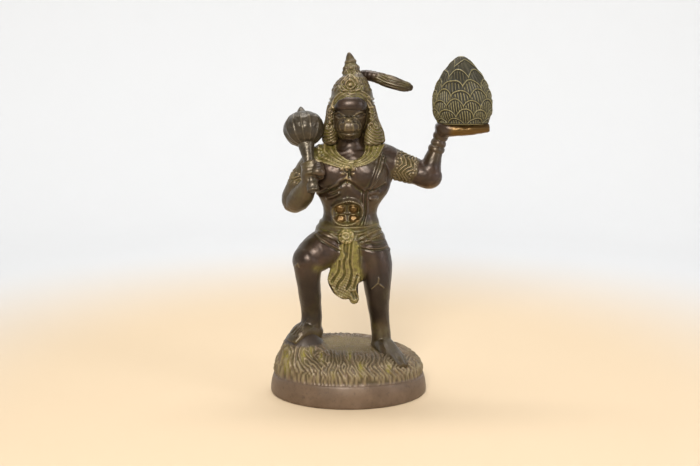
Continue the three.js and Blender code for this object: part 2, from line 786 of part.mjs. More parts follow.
// Broad collar, its pendant, the cord across the chest and the plaque on the belly.
function ornaments() {
  const collarRow = (share) => (turn) => {
    const angle = 2 * Math.PI * turn;
    const toFront = Math.cos(angle);
    const drop = 14.5 * share * ((1 + toFront) / 2) ** 3;
    return new THREE.Vector3(
      ...posed([
        2 + (10 + 17 * share) * Math.sin(angle),
        -1.2 - (11 + 6.4 * share) * toFront,
        207 - drop - 2.4 * share,
      ]),
    );
  };
  const rows = [1, 0.62, 0.24].map((share) =>
    closedBand(collarRow(share), {
      steps: 20,
      tall: 1.9 * unit,
      thick: ornamentRelief,
    }),
  );
  const bosses = [
    [-5.9, -15.4, 157],
    [3.9, -15.4, 157],
    [-5.5, -15, 149.8],
    [4.2, -15, 149.8],
  ].map((centre) => ellipsoid(centre, [3.4, 1.6, 3.2], 7, 4));
  const plaqueRim = (turn) => {
    const angle = 2 * Math.PI * turn;
    return new THREE.Vector3(
      ...posed([
        -0.9 + 11 * Math.cos(angle),
        -14.6 + 1.4 * Math.cos(angle) ** 2,
        153.5 + 9.4 * Math.sin(angle),
      ]),
    );
  };
  const pendant = [
    ellipsoid([-0.2, -18.4, 188], [3, 2, 3], 8, 4),
    ellipsoid([-0.2, -18.6, 181], [2, 1.8, 4.4], 6, 4),
  ];
  const cord = loft(
    [
      [27, -10, 203, 1.2, 1],
      [23.4, -16.6, 192, 1.2, 1],
      [19.6, -18.6, 180, 1.2, 1],
      [16, -16.2, 170, 1.2, 1],
      [15, -14, 158, 1.2, 1],
      [15, -15, 146, 1.2, 1],
    ],
    { steps: 9, around: 6 },
  );
  const armBand = (centre, along_, radius) => (turn) => {
    const axis = new THREE.Vector3(...along_).normalize();
    const side = new THREE.Vector3().crossVectors(axis, front).normalize();
    const deep = new THREE.Vector3().crossVectors(side, axis);
    const angle = 2 * Math.PI * turn;
    return new THREE.Vector3(...posed(centre))
      .addScaledVector(side, radius * unit * Math.cos(angle))
      .addScaledVector(deep, radius * unit * Math.sin(angle));
  };
  const bandSize = { steps: 12, tall: 1.6 * unit, thick: ornamentRelief };
  const bands = [
    closedBand(armBand([39.5, 0.5, 190.2], [8, 0, -2.8], 11.4), bandSize),
    closedBand(armBand([52.5, -0.2, 186], [8, 0, -2.6], 10.5), bandSize),
    closedBand(armBand([-32.4, -1, 183.6], [-5.4, -1.2, -8.4], 11.9), bandSize),
    closedBand(armBand([-38.6, -2.6, 173.4], [-4, -1.5, -8], 11.5), bandSize),
  ];
  const rim = closedBand(plaqueRim, { steps: 16, tall: 1, thick: 1.1 });
  return [...rows, rim, ...bosses, ...pendant, cord, ...bands];
}

const joined = wasm.Manifold.union([
  plinthAndMound(),
  trunk(),
  ...standingLeg(),
  ...bentLeg(),
  ...maceArm(),
  ...liftedArm(),
  mountainPeak(),
  ...mace(),
  ...head(),
  tail(),
  ...cloth(),
  ...ornaments(),
]);

function geometryOf(shape) {
  const mesh = shape.getMesh();
  const geometry = new THREE.BufferGeometry();
  geometry.setAttribute('position', new THREE.BufferAttribute(mesh.vertProperties, 3));
  geometry.setIndex(new THREE.BufferAttribute(mesh.triVerts, 1));
  return geometry;
}

// One skin: facets that differ by less than facetTolerance are merged, and the
// pockets closed in between overlapping forms are filled.
const facetTolerance = 0.16;
const casting = joined
  .asOriginal()
  .simplify(facetTolerance)
  .decompose()
  .reduce((a, b) => (b.volume() > a.volume() ? b : a));

const patinatedBrass = new THREE.MeshStandardMaterial({
  name: 'patinated_brass',
  color: 0x4a3d30,
  metalness: 0.9,
  roughness: 0.42,
});
const skin = geometryOf(casting);
skin.computeVertexNormals();
const figure = new THREE.Mesh(skin, patinatedBrass);
figure.name = 'hanuman_figure';

const group = new THREE.Group();
group.add(figure);
export default group;
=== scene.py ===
# A cast brass figure of a monkey-headed hero on an oval plinth, dressed for the render.
# Lengths are millimetres, +Z up, and the figure faces -Y. Rows of four or five numbers are stations of a
# limb, [x, y, z, half width, half depth]. Pairs are drawn on the plane y = 0, as (x, z).
import math

import bpy
import numpy as np
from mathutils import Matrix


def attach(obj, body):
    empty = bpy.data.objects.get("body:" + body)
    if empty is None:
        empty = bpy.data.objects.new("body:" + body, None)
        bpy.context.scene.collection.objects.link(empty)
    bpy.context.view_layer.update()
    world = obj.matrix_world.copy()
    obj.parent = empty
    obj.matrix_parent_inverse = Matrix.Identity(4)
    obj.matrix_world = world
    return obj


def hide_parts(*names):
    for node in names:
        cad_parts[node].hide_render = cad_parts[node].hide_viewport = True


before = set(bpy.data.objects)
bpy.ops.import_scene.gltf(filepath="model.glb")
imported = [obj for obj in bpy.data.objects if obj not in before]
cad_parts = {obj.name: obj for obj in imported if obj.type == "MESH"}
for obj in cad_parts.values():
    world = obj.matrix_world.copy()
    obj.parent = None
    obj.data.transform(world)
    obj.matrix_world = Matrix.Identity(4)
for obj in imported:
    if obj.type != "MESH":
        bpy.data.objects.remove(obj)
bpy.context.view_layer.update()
mm = 0.001
tau = 2 * math.pi
print("frame loaded:", sorted(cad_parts))

# Camera: where the photographer stood, level with the figure's crown.
camera = {"place": (1.3, -790.0, 272.0), "pitch": 9.9, "lens": 50.0, "sensor": 36.0}


def makeCamera(c):
    data = bpy.data.cameras.new("camera")
    data.lens = c["lens"]
    data.sensor_width = c["sensor"]
    obj = bpy.data.objects.new("camera", data)
    obj.location = [p * mm for p in c["place"]]
    obj.rotation_euler = (math.radians(90 - c["pitch"]), 0, 0)
    bpy.context.scene.collection.objects.link(obj)
    bpy.context.scene.camera = obj


makeCamera(camera)
print("camera set")


# Shared shapes

def bell(distance, width):
    return np.exp(-((distance / width) ** 2))


def ramp(x, low, high):
    t = np.clip((x - low) / (high - low), 0, 1)
    return t * t * (3 - 2 * t)


def oval(x, z, middleX, middleZ, halfWidth=1.0, halfHeight=1.0):
    # Distance from a middle, in half sizes of an upright oval.
    return np.hypot((x - middleX) / halfWidth, (z - middleZ) / halfHeight)


def swell(r, power=1.0):
    # A swelling of height 1 whose edge is at r = 1.
    return np.clip(1 - r ** 2, 0, 1) ** power


def unit(v):
    return v / np.maximum(np.linalg.norm(v, axis=-1, keepdims=True), 1e-9)


def mottle(points, size, seed):
    # Soft random swell, mostly between -1 and 1: sine waves of about that length in random directions.
    count, usualSum = 12, 4.5
    rng = np.random.default_rng(seed)
    waves = unit(rng.normal(size=(count, 3))) * tau / size * rng.uniform(0.6, 1.5, (count, 1))
    phases = rng.uniform(0, tau, count)
    return np.sin(points @ waves.T + phases).sum(axis=1) / usualSum


def spline(rows, steps):
    # Catmull-Rom: a cubic in each span whose slope at a row is half the step between its neighbours.
    p = np.asarray(rows, float)
    p = np.vstack([2 * p[0] - p[1], p, 2 * p[-1] - p[-2]])
    s = np.linspace(0, len(rows) - 1, steps + 1)
    i = np.minimum(s.astype(int), len(rows) - 2)
    t = (s - i)[:, None]
    a, b, c, d = p[i], p[i + 1], p[i + 2], p[i + 3]
    return b + 0.5 * t * (c - a + t * (2 * a - 5 * b + 4 * c - d + t * (3 * (b - c) + d - a)))


def nearLine(points, line, steps=None, drop=0.0):
    # Distance from each point to a line, the least over its stretches. The line is laid lower by drop,
    # and drawn as a spline where steps is given.
    line = np.array(line, float)
    line[:, -1] -= drop
    if steps:
        line = spline(line, steps)
    best = np.full(len(points), 1e9)
    for a, b in zip(line[:-1], line[1:]):
        along = b - a
        t = np.clip((points - a) @ along / max(along @ along, 1e-9), 0, 1)
        best = np.minimum(best, np.linalg.norm(points - a - t[:, None] * along, axis=1))
    return best


def nearest(points, lines, steps=None):
    return np.min([nearLine(points, line, steps) for line in lines], axis=0)


def ridges(points, lines, steps, width, drop=0.0):
    # Rounded ridges of height 1 along several lines, added up.
    return sum(bell(nearLine(points, line, steps, drop), width) for line in lines)


def insideOutline(points, outline):
    # 1 inside a closed outline: a ray to the right crosses it an odd number of times.
    crossed = np.zeros(len(points), bool)
    outline = np.asarray(outline, float)
    for a, b in zip(outline, np.roll(outline, -1, axis=0)):
        if a[1] == b[1]:
            continue
        spans = (a[1] > points[:, 1]) != (b[1] > points[:, 1])
        crossed ^= spans & (points[:, 0] < (b[0] - a[0]) * (points[:, 1] - a[1]) / (b[1] - a[1]) + a[0])
    return crossed.astype(float)


def closedGrid(points, first, last):
    # A grid of rings closed by a fan at each end, as (vertices, quads, triangles).
    rings, around = points.shape[:2]
    vertices = np.vstack([first, points.reshape(-1, 3), last])
    i, j = np.meshgrid(np.arange(rings - 1), np.arange(around), indexing="ij")
    here = 1 + i * around + j
    there = 1 + i * around + (j + 1) % around
    quads = np.stack([here, here + around, there + around, there], axis=-1).reshape(-1, 4)
    k = np.arange(around)
    n = (k + 1) % around
    end = 1 + (rings - 1) * around
    fans = np.vstack([np.stack([0 * k, 1 + k, 1 + n], axis=-1),
                      np.stack([0 * k + end + around, end + n, end + k], axis=-1)])
    return vertices, quads, fans


def loft(stations, steps, around, facing=(0, -1, 0), square=2.0, relief=None, carried=False, domed=0.45):
    # Ovals along a spline of stations: point = centre + side * |cos|^(2/square) * half width
    # + front * |sin|^(2/square) * half depth, pushed out by relief(share along, angle). Front lies near
    # facing, or is carried on from ring to ring. Each end has a dome, domed times its half thickness long.
    rows = [[*r[:4], r[4] if len(r) > 4 else r[3]] for r in stations]
    line = spline(rows, steps)
    forward = unit(np.gradient(line[:, :3], axis=0))
    towards = np.tile(np.asarray(facing, float), (steps + 1, 1))
    if carried:
        for i in range(1, steps + 1):
            side = unit(np.cross(forward[i - 1], towards[i - 1]))
            towards[i] = np.cross(side, forward[i - 1])
    side = unit(np.cross(forward, towards))
    front = np.cross(side, forward)
    out = np.array([0.97, 0.85, 0.65, 0.35])  # rings of a dome, as shares of its length
    flat = 0 * out
    cap = domed * line[[0, -1], 3:].min(axis=1)
    pick = np.concatenate([flat, np.arange(steps + 1), flat + steps]).astype(int)
    slide = np.concatenate([-cap[0] * out, np.zeros(steps + 1), cap[1] * out[::-1]])
    shrink = np.sqrt(1 - np.concatenate([out, np.zeros(steps + 1), out[::-1]]) ** 2)[:, None]
    share = (pick / steps)[:, None]
    angle = tau * np.arange(around)[None, :] / around
    c, s = np.cos(angle), np.sin(angle)
    lift = relief(share, angle) * shrink if relief else 0
    wide = np.sign(c) * np.abs(c) ** (2 / square) * line[pick, 3:4] * shrink + c * lift
    deep = np.sign(s) * np.abs(s) ** (2 / square) * line[pick, 4:5] * shrink + s * lift
    middle = line[pick, :3] + forward[pick] * slide[:, None]
    points = middle[:, None] + wide[..., None] * side[pick][:, None] + deep[..., None] * front[pick][:, None]
    first = line[0, :3] - forward[0] * cap[0]
    last = line[-1, :3] + forward[-1] * cap[1]
    return closedGrid(points, first, last)


def ball(centre, sizes, around=24, rows=12):
    # A ball squashed to half sizes [x, y, z].
    up = np.linspace(-1, 1, rows + 1)[1:-1, None] * math.pi / 2
    turn = -tau * np.arange(around)[None, :] / around
    points = np.stack([np.cos(up) * np.cos(turn), np.cos(up) * np.sin(turn), np.sin(up) + 0 * turn], axis=-1)
    centre, sizes = np.array(centre, float), np.array(sizes, float)
    low, high = centre - sizes * [0, 0, 1], centre + sizes * [0, 0, 1]
    return closedGrid(centre + points * sizes, low, high)


def crossAxes(along):
    # Two axes square to this one and to each other. The second lies near -Y.
    side = unit(np.cross(along, [0.0, -1.0, 0.0]))
    return side, np.cross(side, along)


def turned(profile, middle, along, around, steps):
    # A profile [[radius, height]] turned about an axis through middle. Its first and last radius are 0.
    profile = spline(profile, steps)
    side, front = crossAxes(along)
    angle = tau * np.arange(around) / around
    spoke = np.cos(angle)[:, None] * side + np.sin(angle)[:, None] * front
    points = middle + profile[1:-1, 1, None, None] * along
    points = points + np.maximum(profile[1:-1, 0, None, None], 0.02) * spoke[None]
    ends = middle + profile[[0, -1], 1][:, None] * along
    return closedGrid(points, ends[0], ends[1])


def joined(shells):
    starts = np.cumsum([0] + [len(s[0]) for s in shells[:-1]])
    moved = [(s[0], s[1] + n, s[2] + n) for s, n in zip(shells, starts)]
    return [np.vstack(kind) for kind in zip(*moved)]


def makeObject(name, shell):
    vertices, quads, fans = shell
    mesh = bpy.data.meshes.new(name)
    mesh.from_pydata((vertices * mm).tolist(), [], quads.tolist() + fans.tolist())
    mesh.polygons.foreach_set("use_smooth", np.ones(len(mesh.polygons), bool))
    mesh.update()
    obj = bpy.data.objects.new(name, mesh)
    bpy.context.scene.collection.objects.link(obj)
    return obj


def fused(name, shells, voxel, rounds):
    # Overlapping closed shells become one skin of small squares, which is then eased like wax.
    obj = makeObject(name, joined(shells))
    remesh = obj.modifiers.new("skin", "REMESH")
    remesh.mode = "VOXEL"
    remesh.voxel_size = voxel * mm
    remesh.use_smooth_shade = True
    ease = obj.modifiers.new("ease", "SMOOTH")
    ease.factor = 0.5
    ease.iterations = rounds
    bpy.context.view_layer.update()
    raw = obj.data
    obj.data = bpy.data.meshes.new_from_object(obj.evaluated_get(bpy.context.evaluated_depsgraph_get()))
    obj.modifiers.clear()
    bpy.data.meshes.remove(raw)
    obj.data.name = name
    print(name, "has", len(obj.data.polygons), "faces")
    return obj


def skinOf(obj):
    # Points in mm and normals, where each point falls on the plane y = 0 when it is cast there from
    # the camera's place, and front, which is 1 where the skin faces the camera.
    count = len(obj.data.vertices)
    at = np.zeros(count * 3)
    obj.data.vertices.foreach_get("co", at)
    at = at.reshape(-1, 3) / mm
    normal = np.zeros(count * 3, np.float32)
    obj.data.vertex_normals.foreach_get("vector", normal)
    normal = normal.reshape(-1, 3).astype(float)
    eye = np.array(camera["place"])
    away = at - eye
    drawn = eye + away * (-eye[1] / away[:, 1:2])
    front = ramp(-(normal * unit(away)).sum(axis=1), 0.12, 0.5)
    return at, normal, drawn[:, [0, 2]], front


def carve(obj, height):
    at, normal = skinOf(obj)[:2]
    moved = at + normal * height[:, None]
    obj.data.vertices.foreach_set("co", (moved * mm).astype(np.float32).ravel())
    obj.data.update()


def hollows(obj, rounds=10):
    # How far each point lies under the mean of its neighbours, in mm: above 0 in grooves, below it on
    # ridges.
    at, normal = skinOf(obj)[:2]
    ends = np.zeros(len(obj.data.edges) * 2, int)
    obj.data.edges.foreach_get("vertices", ends)
    ends = ends.reshape(-1, 2)
    degree = np.bincount(ends.ravel(), minlength=len(at))[:, None]
    eased = at
    for _ in range(rounds):
        total = np.stack([np.bincount(ends[:, 0], eased[ends[:, 1], k], len(at))
                          + np.bincount(ends[:, 1], eased[ends[:, 0], k], len(at)) for k in range(3)], axis=1)
        eased = total / np.maximum(degree, 1)
    return ((eased - at) * normal).sum(axis=1)


# Materials

def hexColour(code):
    channels = [int(code[i:i + 2], 16) / 255 for i in (1, 3, 5)]
    return tuple(c / 12.92 if c <= 0.04045 else ((c + 0.055) / 1.055) ** 2.4 for c in channels) + (1.0,)


def addNode(tree, kind, values, output=0):
    # One shader node. Values go to its sockets, by name or number, or to its properties. A value that
    # is another node's output is linked.
    node = tree.nodes.new("ShaderNode" + kind)
    for key, value in values.items():
        if isinstance(value, bpy.types.NodeSocket):
            tree.links.new(value, node.inputs[key])
        elif isinstance(key, int) or key in node.inputs:
            node.inputs[key].default_value = value
        else:
            setattr(node, key, value)
    return node.outputs[output] if node.outputs else None


def emptyMaterial(name):
    material = bpy.data.materials.new(name)
    material.use_nodes = True
    material.node_tree.nodes.clear()
    return material, material.node_tree


# Cast brass under an old brown patina: near-black brown in the hollows, partly dark patina and partly painted
# shade, warmer on the swells, dry olive-yellow residue where polish and dust gathered, and bare metal where
# hands rubbed it, which also stands as a painted highlight on ridges. A wax film lies over it, so its lights
# are white and soft and not brassy.
brassFinish = {
    "figure": {
        "dark": "#0b0602", "mid": "#302114", "warm": "#483426", "residue": "#746b2a", "wearAndHighlight": "#a8946a",
        "metallic": 0.55, "gloss": 0.34, "residueRoughness": 0.55, "grain": 0.7, "wax": 0.35,
    },
    "plinth": {
        "dark": "#170f0a", "mid": "#604d3b", "warm": "#745f4c", "residue": "#80762c", "wearAndHighlight": "#a59a6e",
        "metallic": 0.25, "gloss": 0.45, "residueRoughness": 0.7, "grain": 0.9, "wax": 0.15,
    },
    "mace": {
        "dark": "#120e08", "mid": "#383024", "warm": "#4a3f30", "residue": "#504b30", "wearAndHighlight": "#857961",
        "metallic": 0.55, "gloss": 0.3, "residueRoughness": 0.7, "grain": 0.7, "wax": 0.25,
    },
    "mountain": {
        "dark": "#0d0a02", "mid": "#2b2611", "warm": "#3a331a", "residue": "#34321a", "wearAndHighlight": "#94895c",
        "metallic": 0.3, "gloss": 0.48, "residueRoughness": 0.7, "grain": 0.6, "wax": 0.1,
    },
}
copperTint = "#70531d"


def patinatedBrass(name, f):
    material, tree = emptyMaterial(name)
    place = addNode(tree, "TexCoord", {}, "Object")
    residue, wearAndHighlight, copper, patinaAndShade = [addNode(tree, "Attribute", {"attribute_name": layer}, "Fac")
                                     for layer in ("residue", "wearAndHighlight", "copper", "patinaAndShade")]
    # Noise of [size in mm, detail, roughness]: clouds of patina, blotches inside them, and sand grain
    clouds, blotches, grain = [
        addNode(tree, "TexNoise", {"Vector": place, "Scale": 1 / (size * mm), "Detail": detail,
                                   "Roughness": roughness}, "Fac")
        for size, detail, roughness in ((14, 3.0, 0.55), (3, 5.0, 0.62), (f["grain"], 2.0, 0.5))]
    # How strongly clouds and blotches show, and how blotches break up the residue
    shown = ((clouds, 0.36, 0.68, 0.0, 0.8), (blotches, 0.45, 0.72, 0.0, 0.4),
             (blotches, 0.34, 0.58, 0.3, 1.0))
    cloudy, blotchy, broken = [
        addNode(tree, "MapRange", {"Value": noise, "From Min": low, "From Max": high, "To Min": least,
                                   "To Max": most})
        for noise, low, high, least, most in shown]
    # Painted shade: the dark colour fills the creases, together with dark patina and random blotches
    shade = addNode(tree, "Math", {"operation": "MAXIMUM", 0: blotchy, 1: patinaAndShade})
    cover = addNode(tree, "Math", {"operation": "MULTIPLY", "use_clamp": True, 0: residue, 1: broken})
    # Each colour lies over the ones before it: a mix takes its share at socket 0 and its colours at 6 and 7
    base = hexColour(f["mid"])
    # The bare colour is rubbed metal and also a painted highlight on ridges
    for share, colour in ((cloudy, f["warm"]), (shade, f["dark"]), (cover, f["residue"]), (wearAndHighlight, f["wearAndHighlight"]),
                          (copper, copperTint)):
        base = addNode(tree, "Mix", {"data_type": "RGBA", 0: share, 6: base, 7: hexColour(colour)}, 2)
    dull = addNode(tree, "MapRange", {"Value": cover, "To Min": f["metallic"], "To Max": 0.05})
    metal = addNode(tree, "Math", {"operation": "MULTIPLY_ADD", "use_clamp": True,
                                   0: copper, 1: 0.55, 2: dull})
    rough = addNode(tree, "MapRange", {"Value": cover, "To Min": f["gloss"], "To Max": f["residueRoughness"]})
    rough = addNode(tree, "Math", {"operation": "MULTIPLY_ADD", 0: blotches, 1: 0.10, 2: rough})
    bump = addNode(tree, "Bump", {"Strength": 0.3, "Distance": 0.10 * mm, "Height": grain})
    bump = addNode(tree, "Bump", {"Strength": 0.4, "Distance": 0.22 * mm, "Height": blotches, "Normal": bump})
    shader = addNode(tree, "BsdfPrincipled", {"Base Color": base, "Metallic": metal, "Roughness": rough,
                                              "Normal": bump, "Coat Weight": f["wax"],
                                              "Coat Roughness": 0.36})
    addNode(tree, "OutputMaterial", {"Surface": shader})
    return material


finishes = {name: patinatedBrass(f"patinated_brass_{name}", f) for name, f in brassFinish.items()}
print("materials made")


def dress(obj, finish, residue, wearAndHighlight, patinaAndShade, copper=0.0):
    # Four layers between 0 and 1 steer the finish, and the piece rides with the casting.
    count = len(obj.data.vertices)
    for name, value in (("residue", residue), ("wearAndHighlight", wearAndHighlight), ("patinaAndShade", patinaAndShade), ("copper", copper)):
        layer = obj.data.attributes.new(name, "FLOAT", "POINT")
        layer.data.foreach_set("value", np.clip(np.zeros(count) + value, 0, 1).astype(np.float32))
    obj.data.materials.append(finishes[finish])
    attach(obj, "root")
    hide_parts("hanuman_figure")


# Plinth and mound. The wall profile is [share of the height, inset], the turf is drawn as lines, and
# patches of olive are (x, z, half width, half height).

plinth = {
    "halfWidth": 65.4, "halfDepth": 52.0, "wallHeight": 17.0, "wallSwell": 1.6, "wallLean": 2.4,
    "wallProfile": [
        [0.0, 2.2], [0.0, 0.8], [0.06, 0.2], [0.14, 0.0], [0.25, 0.02], [0.36, 0.1], [0.5, 0.3],
        [0.62, 0.6], [0.74, 1.05], [0.85, 1.55], [0.93, 2.0], [0.98, 2.5], [1.0, 3.1],
    ],
    "rise": 21.0, "ledge": 0.6, "stone": (-42.0, -12.0), "stoneReach": (20.0, 28.0, 27.0),
    "stoneRise": 15.0, "lock": 4.4, "strand": 2.8, "turnLength": 58.0,
    "turf": [
        [(-45.7, 37.8), (-51.2, 38.9), (-55.2, 37.1), (-58.7, 29.4), (-59.5, 20.9), (-56.6, 13.1),
         (-53.9, 9.9)],
        [(-48.5, 37.1), (-46.9, 32.2), (-49.7, 23.7), (-48.7, 16.7), (-44.9, 12.1), (-41.3, 9.3)],
        [(-43.7, 37.1), (-45.2, 27.9), (-45.7, 19.5), (-41.2, 11.7), (-35.2, 6.7)],
        [(-39, 38.5), (-41.8, 30.8), (-40.5, 23.7), (-35.4, 16.7), (-30.8, 10.7), (-25.6, 6)],
        [(-37, 32.2), (-32.3, 26.5), (-26.9, 22.3), (-22.8, 16.9)],
        [(-30.6, 36.4), (-29.8, 30.1), (-25.5, 24.4), (-21.5, 19.5), (-23.1, 13.8), (-19.5, 6.7)],
        [(-27.9, 30.1), (-24.8, 32.2), (-21.4, 30.1), (-22.1, 25.8), (-24.8, 26.5)],
        [(-18.7, 39.2), (-14, 32.2), (-13.3, 23.7), (-17.1, 15.2), (-15.8, 8.9), (-12, 3.9)],
        [(-11.9, 37.8), (-10.9, 27.9), (-9, 20.9), (-11.7, 13.8), (-10.4, 6)],
        [(-7.6, 35), (-6.2, 25.1), (-7.9, 18.1), (-4.9, 11), (0.5, 5)],
        [(-2.4, 37.8), (-3.8, 29.4), (0, 20.9), (-1.1, 15.2), (4.4, 7.9), (9, 3)],
        [(4.3, 35), (3, 27.9), (6, 19.5), (10.1, 13.1), (15.2, 8.2)],
        [(9.8, 33.6), (13.8, 27.9), (11.4, 20.9), (16.6, 13.8), (22, 8)],
        [(15.2, 35), (20.6, 31.5), (22, 25.8), (18.2, 19.5), (23.4, 13.8), (29, 8)],
        [(21.9, 33.6), (26.3, 27.7), (25, 21.6), (28.8, 16.7), (34, 9)],
        [(33, 31), (30, 24), (34, 17), (40, 10)], [(40, 33), (43, 25), (39, 18), (46, 11)],
        [(48, 31), (45, 24), (51, 17), (50, 11)],
    ],
    "olive": [
        (-52.7, 24, 3.4, 11), (-38, 31, 2, 6), (-31.5, 35, 2, 5), (-23, 28, 2, 4), (-13, 9.6, 2, 5),
        (1, 30, 2, 4), (10.5, 17, 2.4, 6), (34, 18, 2, 5),
    ],
}


def plinthShell(p, reach):
    # Wall up the outside, leaning in, with a rounded foot and a soft upper edge, then the mound. Its x and y
    # shrink evenly to the middle, height = rise * (1 - share^5)^0.36. The rise is greater over the stone
    # under the bent foot.
    around, rings = 570, 118
    angle = -tau * np.arange(around)[None, :] / around
    cos, sin = np.cos(angle), np.sin(angle)
    wallTop = p["wallHeight"] - p["wallSwell"] * np.cos(2 * angle)
    up = spline(p["wallProfile"], 30)
    inset = up[:, 1:2]
    wall = np.stack([(p["halfWidth"] - inset) * cos, (p["halfDepth"] - inset) * sin,
                     np.maximum(up[:, :1], 0) * wallTop], axis=-1)
    share = np.linspace(0.999, 0.0, rings + 1)[:-1, None] ** 0.85
    x, y = reach[0] * share * cos, reach[1] * share * sin
    leftReach, rightReach, deepReach = p["stoneReach"]
    aside = (x - p["stone"][0]) / np.where(x < p["stone"][0], leftReach, rightReach)
    stone = ramp(np.hypot(aside, (y - p["stone"][1]) / deepReach), 0.95, 0.45)
    rise = 1.05 * p["rise"] - 0.05 * x + p["stoneRise"] * stone
    z = p["wallHeight"] * (1 - share) + wallTop * share + rise * (1 - share ** 5) ** 0.36
    mound = np.stack([x, y, z], axis=-1)
    return closedGrid(np.concatenate([wall, mound]), [0.0, 0.0, 0.0], mound[-1].mean(axis=0))


def turfLocks(p, at, turn, share):
    # Height of the locks that run downhill all round, each bent by a long wave and a short one.
    down = at[:, 2] - 34 * share
    run = turn * p["turnLength"] + 4.2 * np.sin(down / 4.4 + 1.6 * np.sin(5 * turn))
    run += 2.2 * np.sin(down / 2.3 + 4 * turn) + 1.6 * mottle(at, 9, 6)
    across = math.pi * run / p["lock"]
    return 1.3 * np.abs(np.cos(across)) ** 1.8 - 0.7 + 0.3 * np.cos(3 * across)


def turfStrands(p, at, drawn):
    # Height of the strands in front, along the drawn lines, which are swept on to the right at their feet.
    gap = nearest(drawn, [[*line, (line[-1][0] + 5, line[-1][1] - 7)] for line in p["turf"]], 22)
    swirl = gap + 0.9 * mottle(at, 8, 4) * ramp(gap, 0.6, 2.5) + 0.25 * mottle(at, 3, 5)
    across = math.pi * swirl / p["strand"]
    return 1.4 * np.abs(np.cos(across)) ** 2.4 - 0.7 + 0.35 * bell(gap, 0.8) + 0.2 * np.cos(5 * across)


def makePlinth(p):
    reach = [p[half] - p["wallLean"] - p["ledge"] for half in ("halfWidth", "halfDepth")]
    obj = makeObject("plinth_and_mound", plinthShell(p, reach))
    at, _, drawn, _ = skinOf(obj)
    ax, ay, az = at.T
    x, z = drawn.T
    turn = np.arctan2(ay / reach[1], ax / reach[0])
    share = np.hypot(ay / reach[1], ax / reach[0])
    locks, strands = turfLocks(p, at, turn, share), turfStrands(p, at, drawn)
    # Locks on the slope, strands in front, crumbs on the top and bare stone under the bent foot
    overWall = az - p["wallHeight"] + p["wallSwell"] * np.cos(2 * turn)
    drawnHere = ramp(-ay, 6, 16) * ramp(z, 49, 46) * ramp(overWall, 3, 9)
    onMound = ramp(overWall, 0.2, 1.8)
    onTop = ramp(share, 0.58, 0.36)
    bareStone = ramp(az, 43.5, 46.5) * ramp(-ax, 16, 22)
    crumb = np.sin(1.9 * ax + 2 * np.sin(1.3 * ay)) * np.sin(1.7 * ay + 2 * np.sin(1.1 * ax))
    height = onMound * (1 - onTop) * ((1 - drawnHere) * locks + drawnHere * strands) * (1 - bareStone)
    height += 0.35 * onTop * crumb * (1 - 0.8 * bareStone) + 0.15 * mottle(at, 18, 3) * ramp(az, 0.5, 3)
    carve(obj, height)
    dip = hollows(obj)
    residue = onMound * (0.04 + 0.14 * ramp(dip, 0.0, 0.35) + 0.26 * onTop) * (1 - 0.8 * bareStone)
    for cx, cz, wide, tall in p["olive"]:
        patch = bell(x - cx, wide) * bell(z - cz, tall) * (0.4 + 0.8 * ramp(dip, -0.1, 0.2))
        residue += onMound * drawnHere * (1 - bareStone) * patch
    # Ridges get rubbed metal that also acts as a painted highlight
    wearAndHighlight = onMound * (0.12 + 0.2 * ramp(share, 0.7, 0.9)) * ramp(-dip, 0.12, 0.55)
    # Painted shade in the grooves between strands, with dark patina; the bare stone under the bent foot is
    # darker all over
    patinaAndShade = onMound * (0.6 * ramp(dip, 0.04, 0.4) * (1 - onTop) + 0.68 * bareStone) + 0.12
    dress(obj, "plinth", residue, wearAndHighlight * (1 - onTop) * (1 - bareStone), patinaAndShade)


makePlinth(plinth)
print("plinth made")


# Trunk, arms and hands

trunk = {
    "neck": [
        [1.8, 0.4, 195, 19, 15.5], [1.8, 0.4, 199, 17.4, 14.8], [1.8, 0.4, 203.5, 14.4, 13.6],
        [1.8, 0.4, 208, 12, 11.5], [1.8, 0.6, 212, 11.2, 10.1], [1.8, 0.8, 215.5, 10.4, 8.8],
    ],
    "stations": [
        [1.4, 0, 137, 24, 15], [1.4, 0, 143, 24, 16], [1.4, 0, 151, 22, 14.2], [1.6, -0.5, 159, 23.6, 14.8],
        [2, -1, 167, 28, 16.2], [2.5, -1.5, 175, 32, 17.6], [2.2, -1.5, 183, 34, 18],
        [2, -1, 191, 34, 17.2], [2, 0, 199, 31, 14.5], [2.1, 0, 205, 22, 12.5], [2.1, -1.5, 209, 11, 9],
    ],
}
maceArm = {
    "upper": [
        [-15, 1, 196.5, 12.5, 13], [-21.5, 0.6, 194, 13.2, 13.4], [-27.6, 0, 190, 12.4, 13],
        [-34.6, -1.4, 180.4, 11.8, 12.4], [-39, -2.8, 172.6, 11.5, 12], [-42.4, -4.2, 166, 11.2, 11.4],
        [-44.2, -5.4, 160.8, 10.6, 10.6], [-45, -6.4, 155.6, 7.6, 7.6],
    ],
    "fore": [
        [-44, -6, 160.5, 9], [-40.5, -11.5, 163.5, 9.4], [-36, -17.5, 169, 8.8], [-32, -22.5, 176, 7],
        [-29.5, -25.5, 182, 5.6, 5.8],
    ],
    "armlet": ((-33.6, -1.4, 181.6), (-39.8, -3.0, 171.2), 12.0),
}
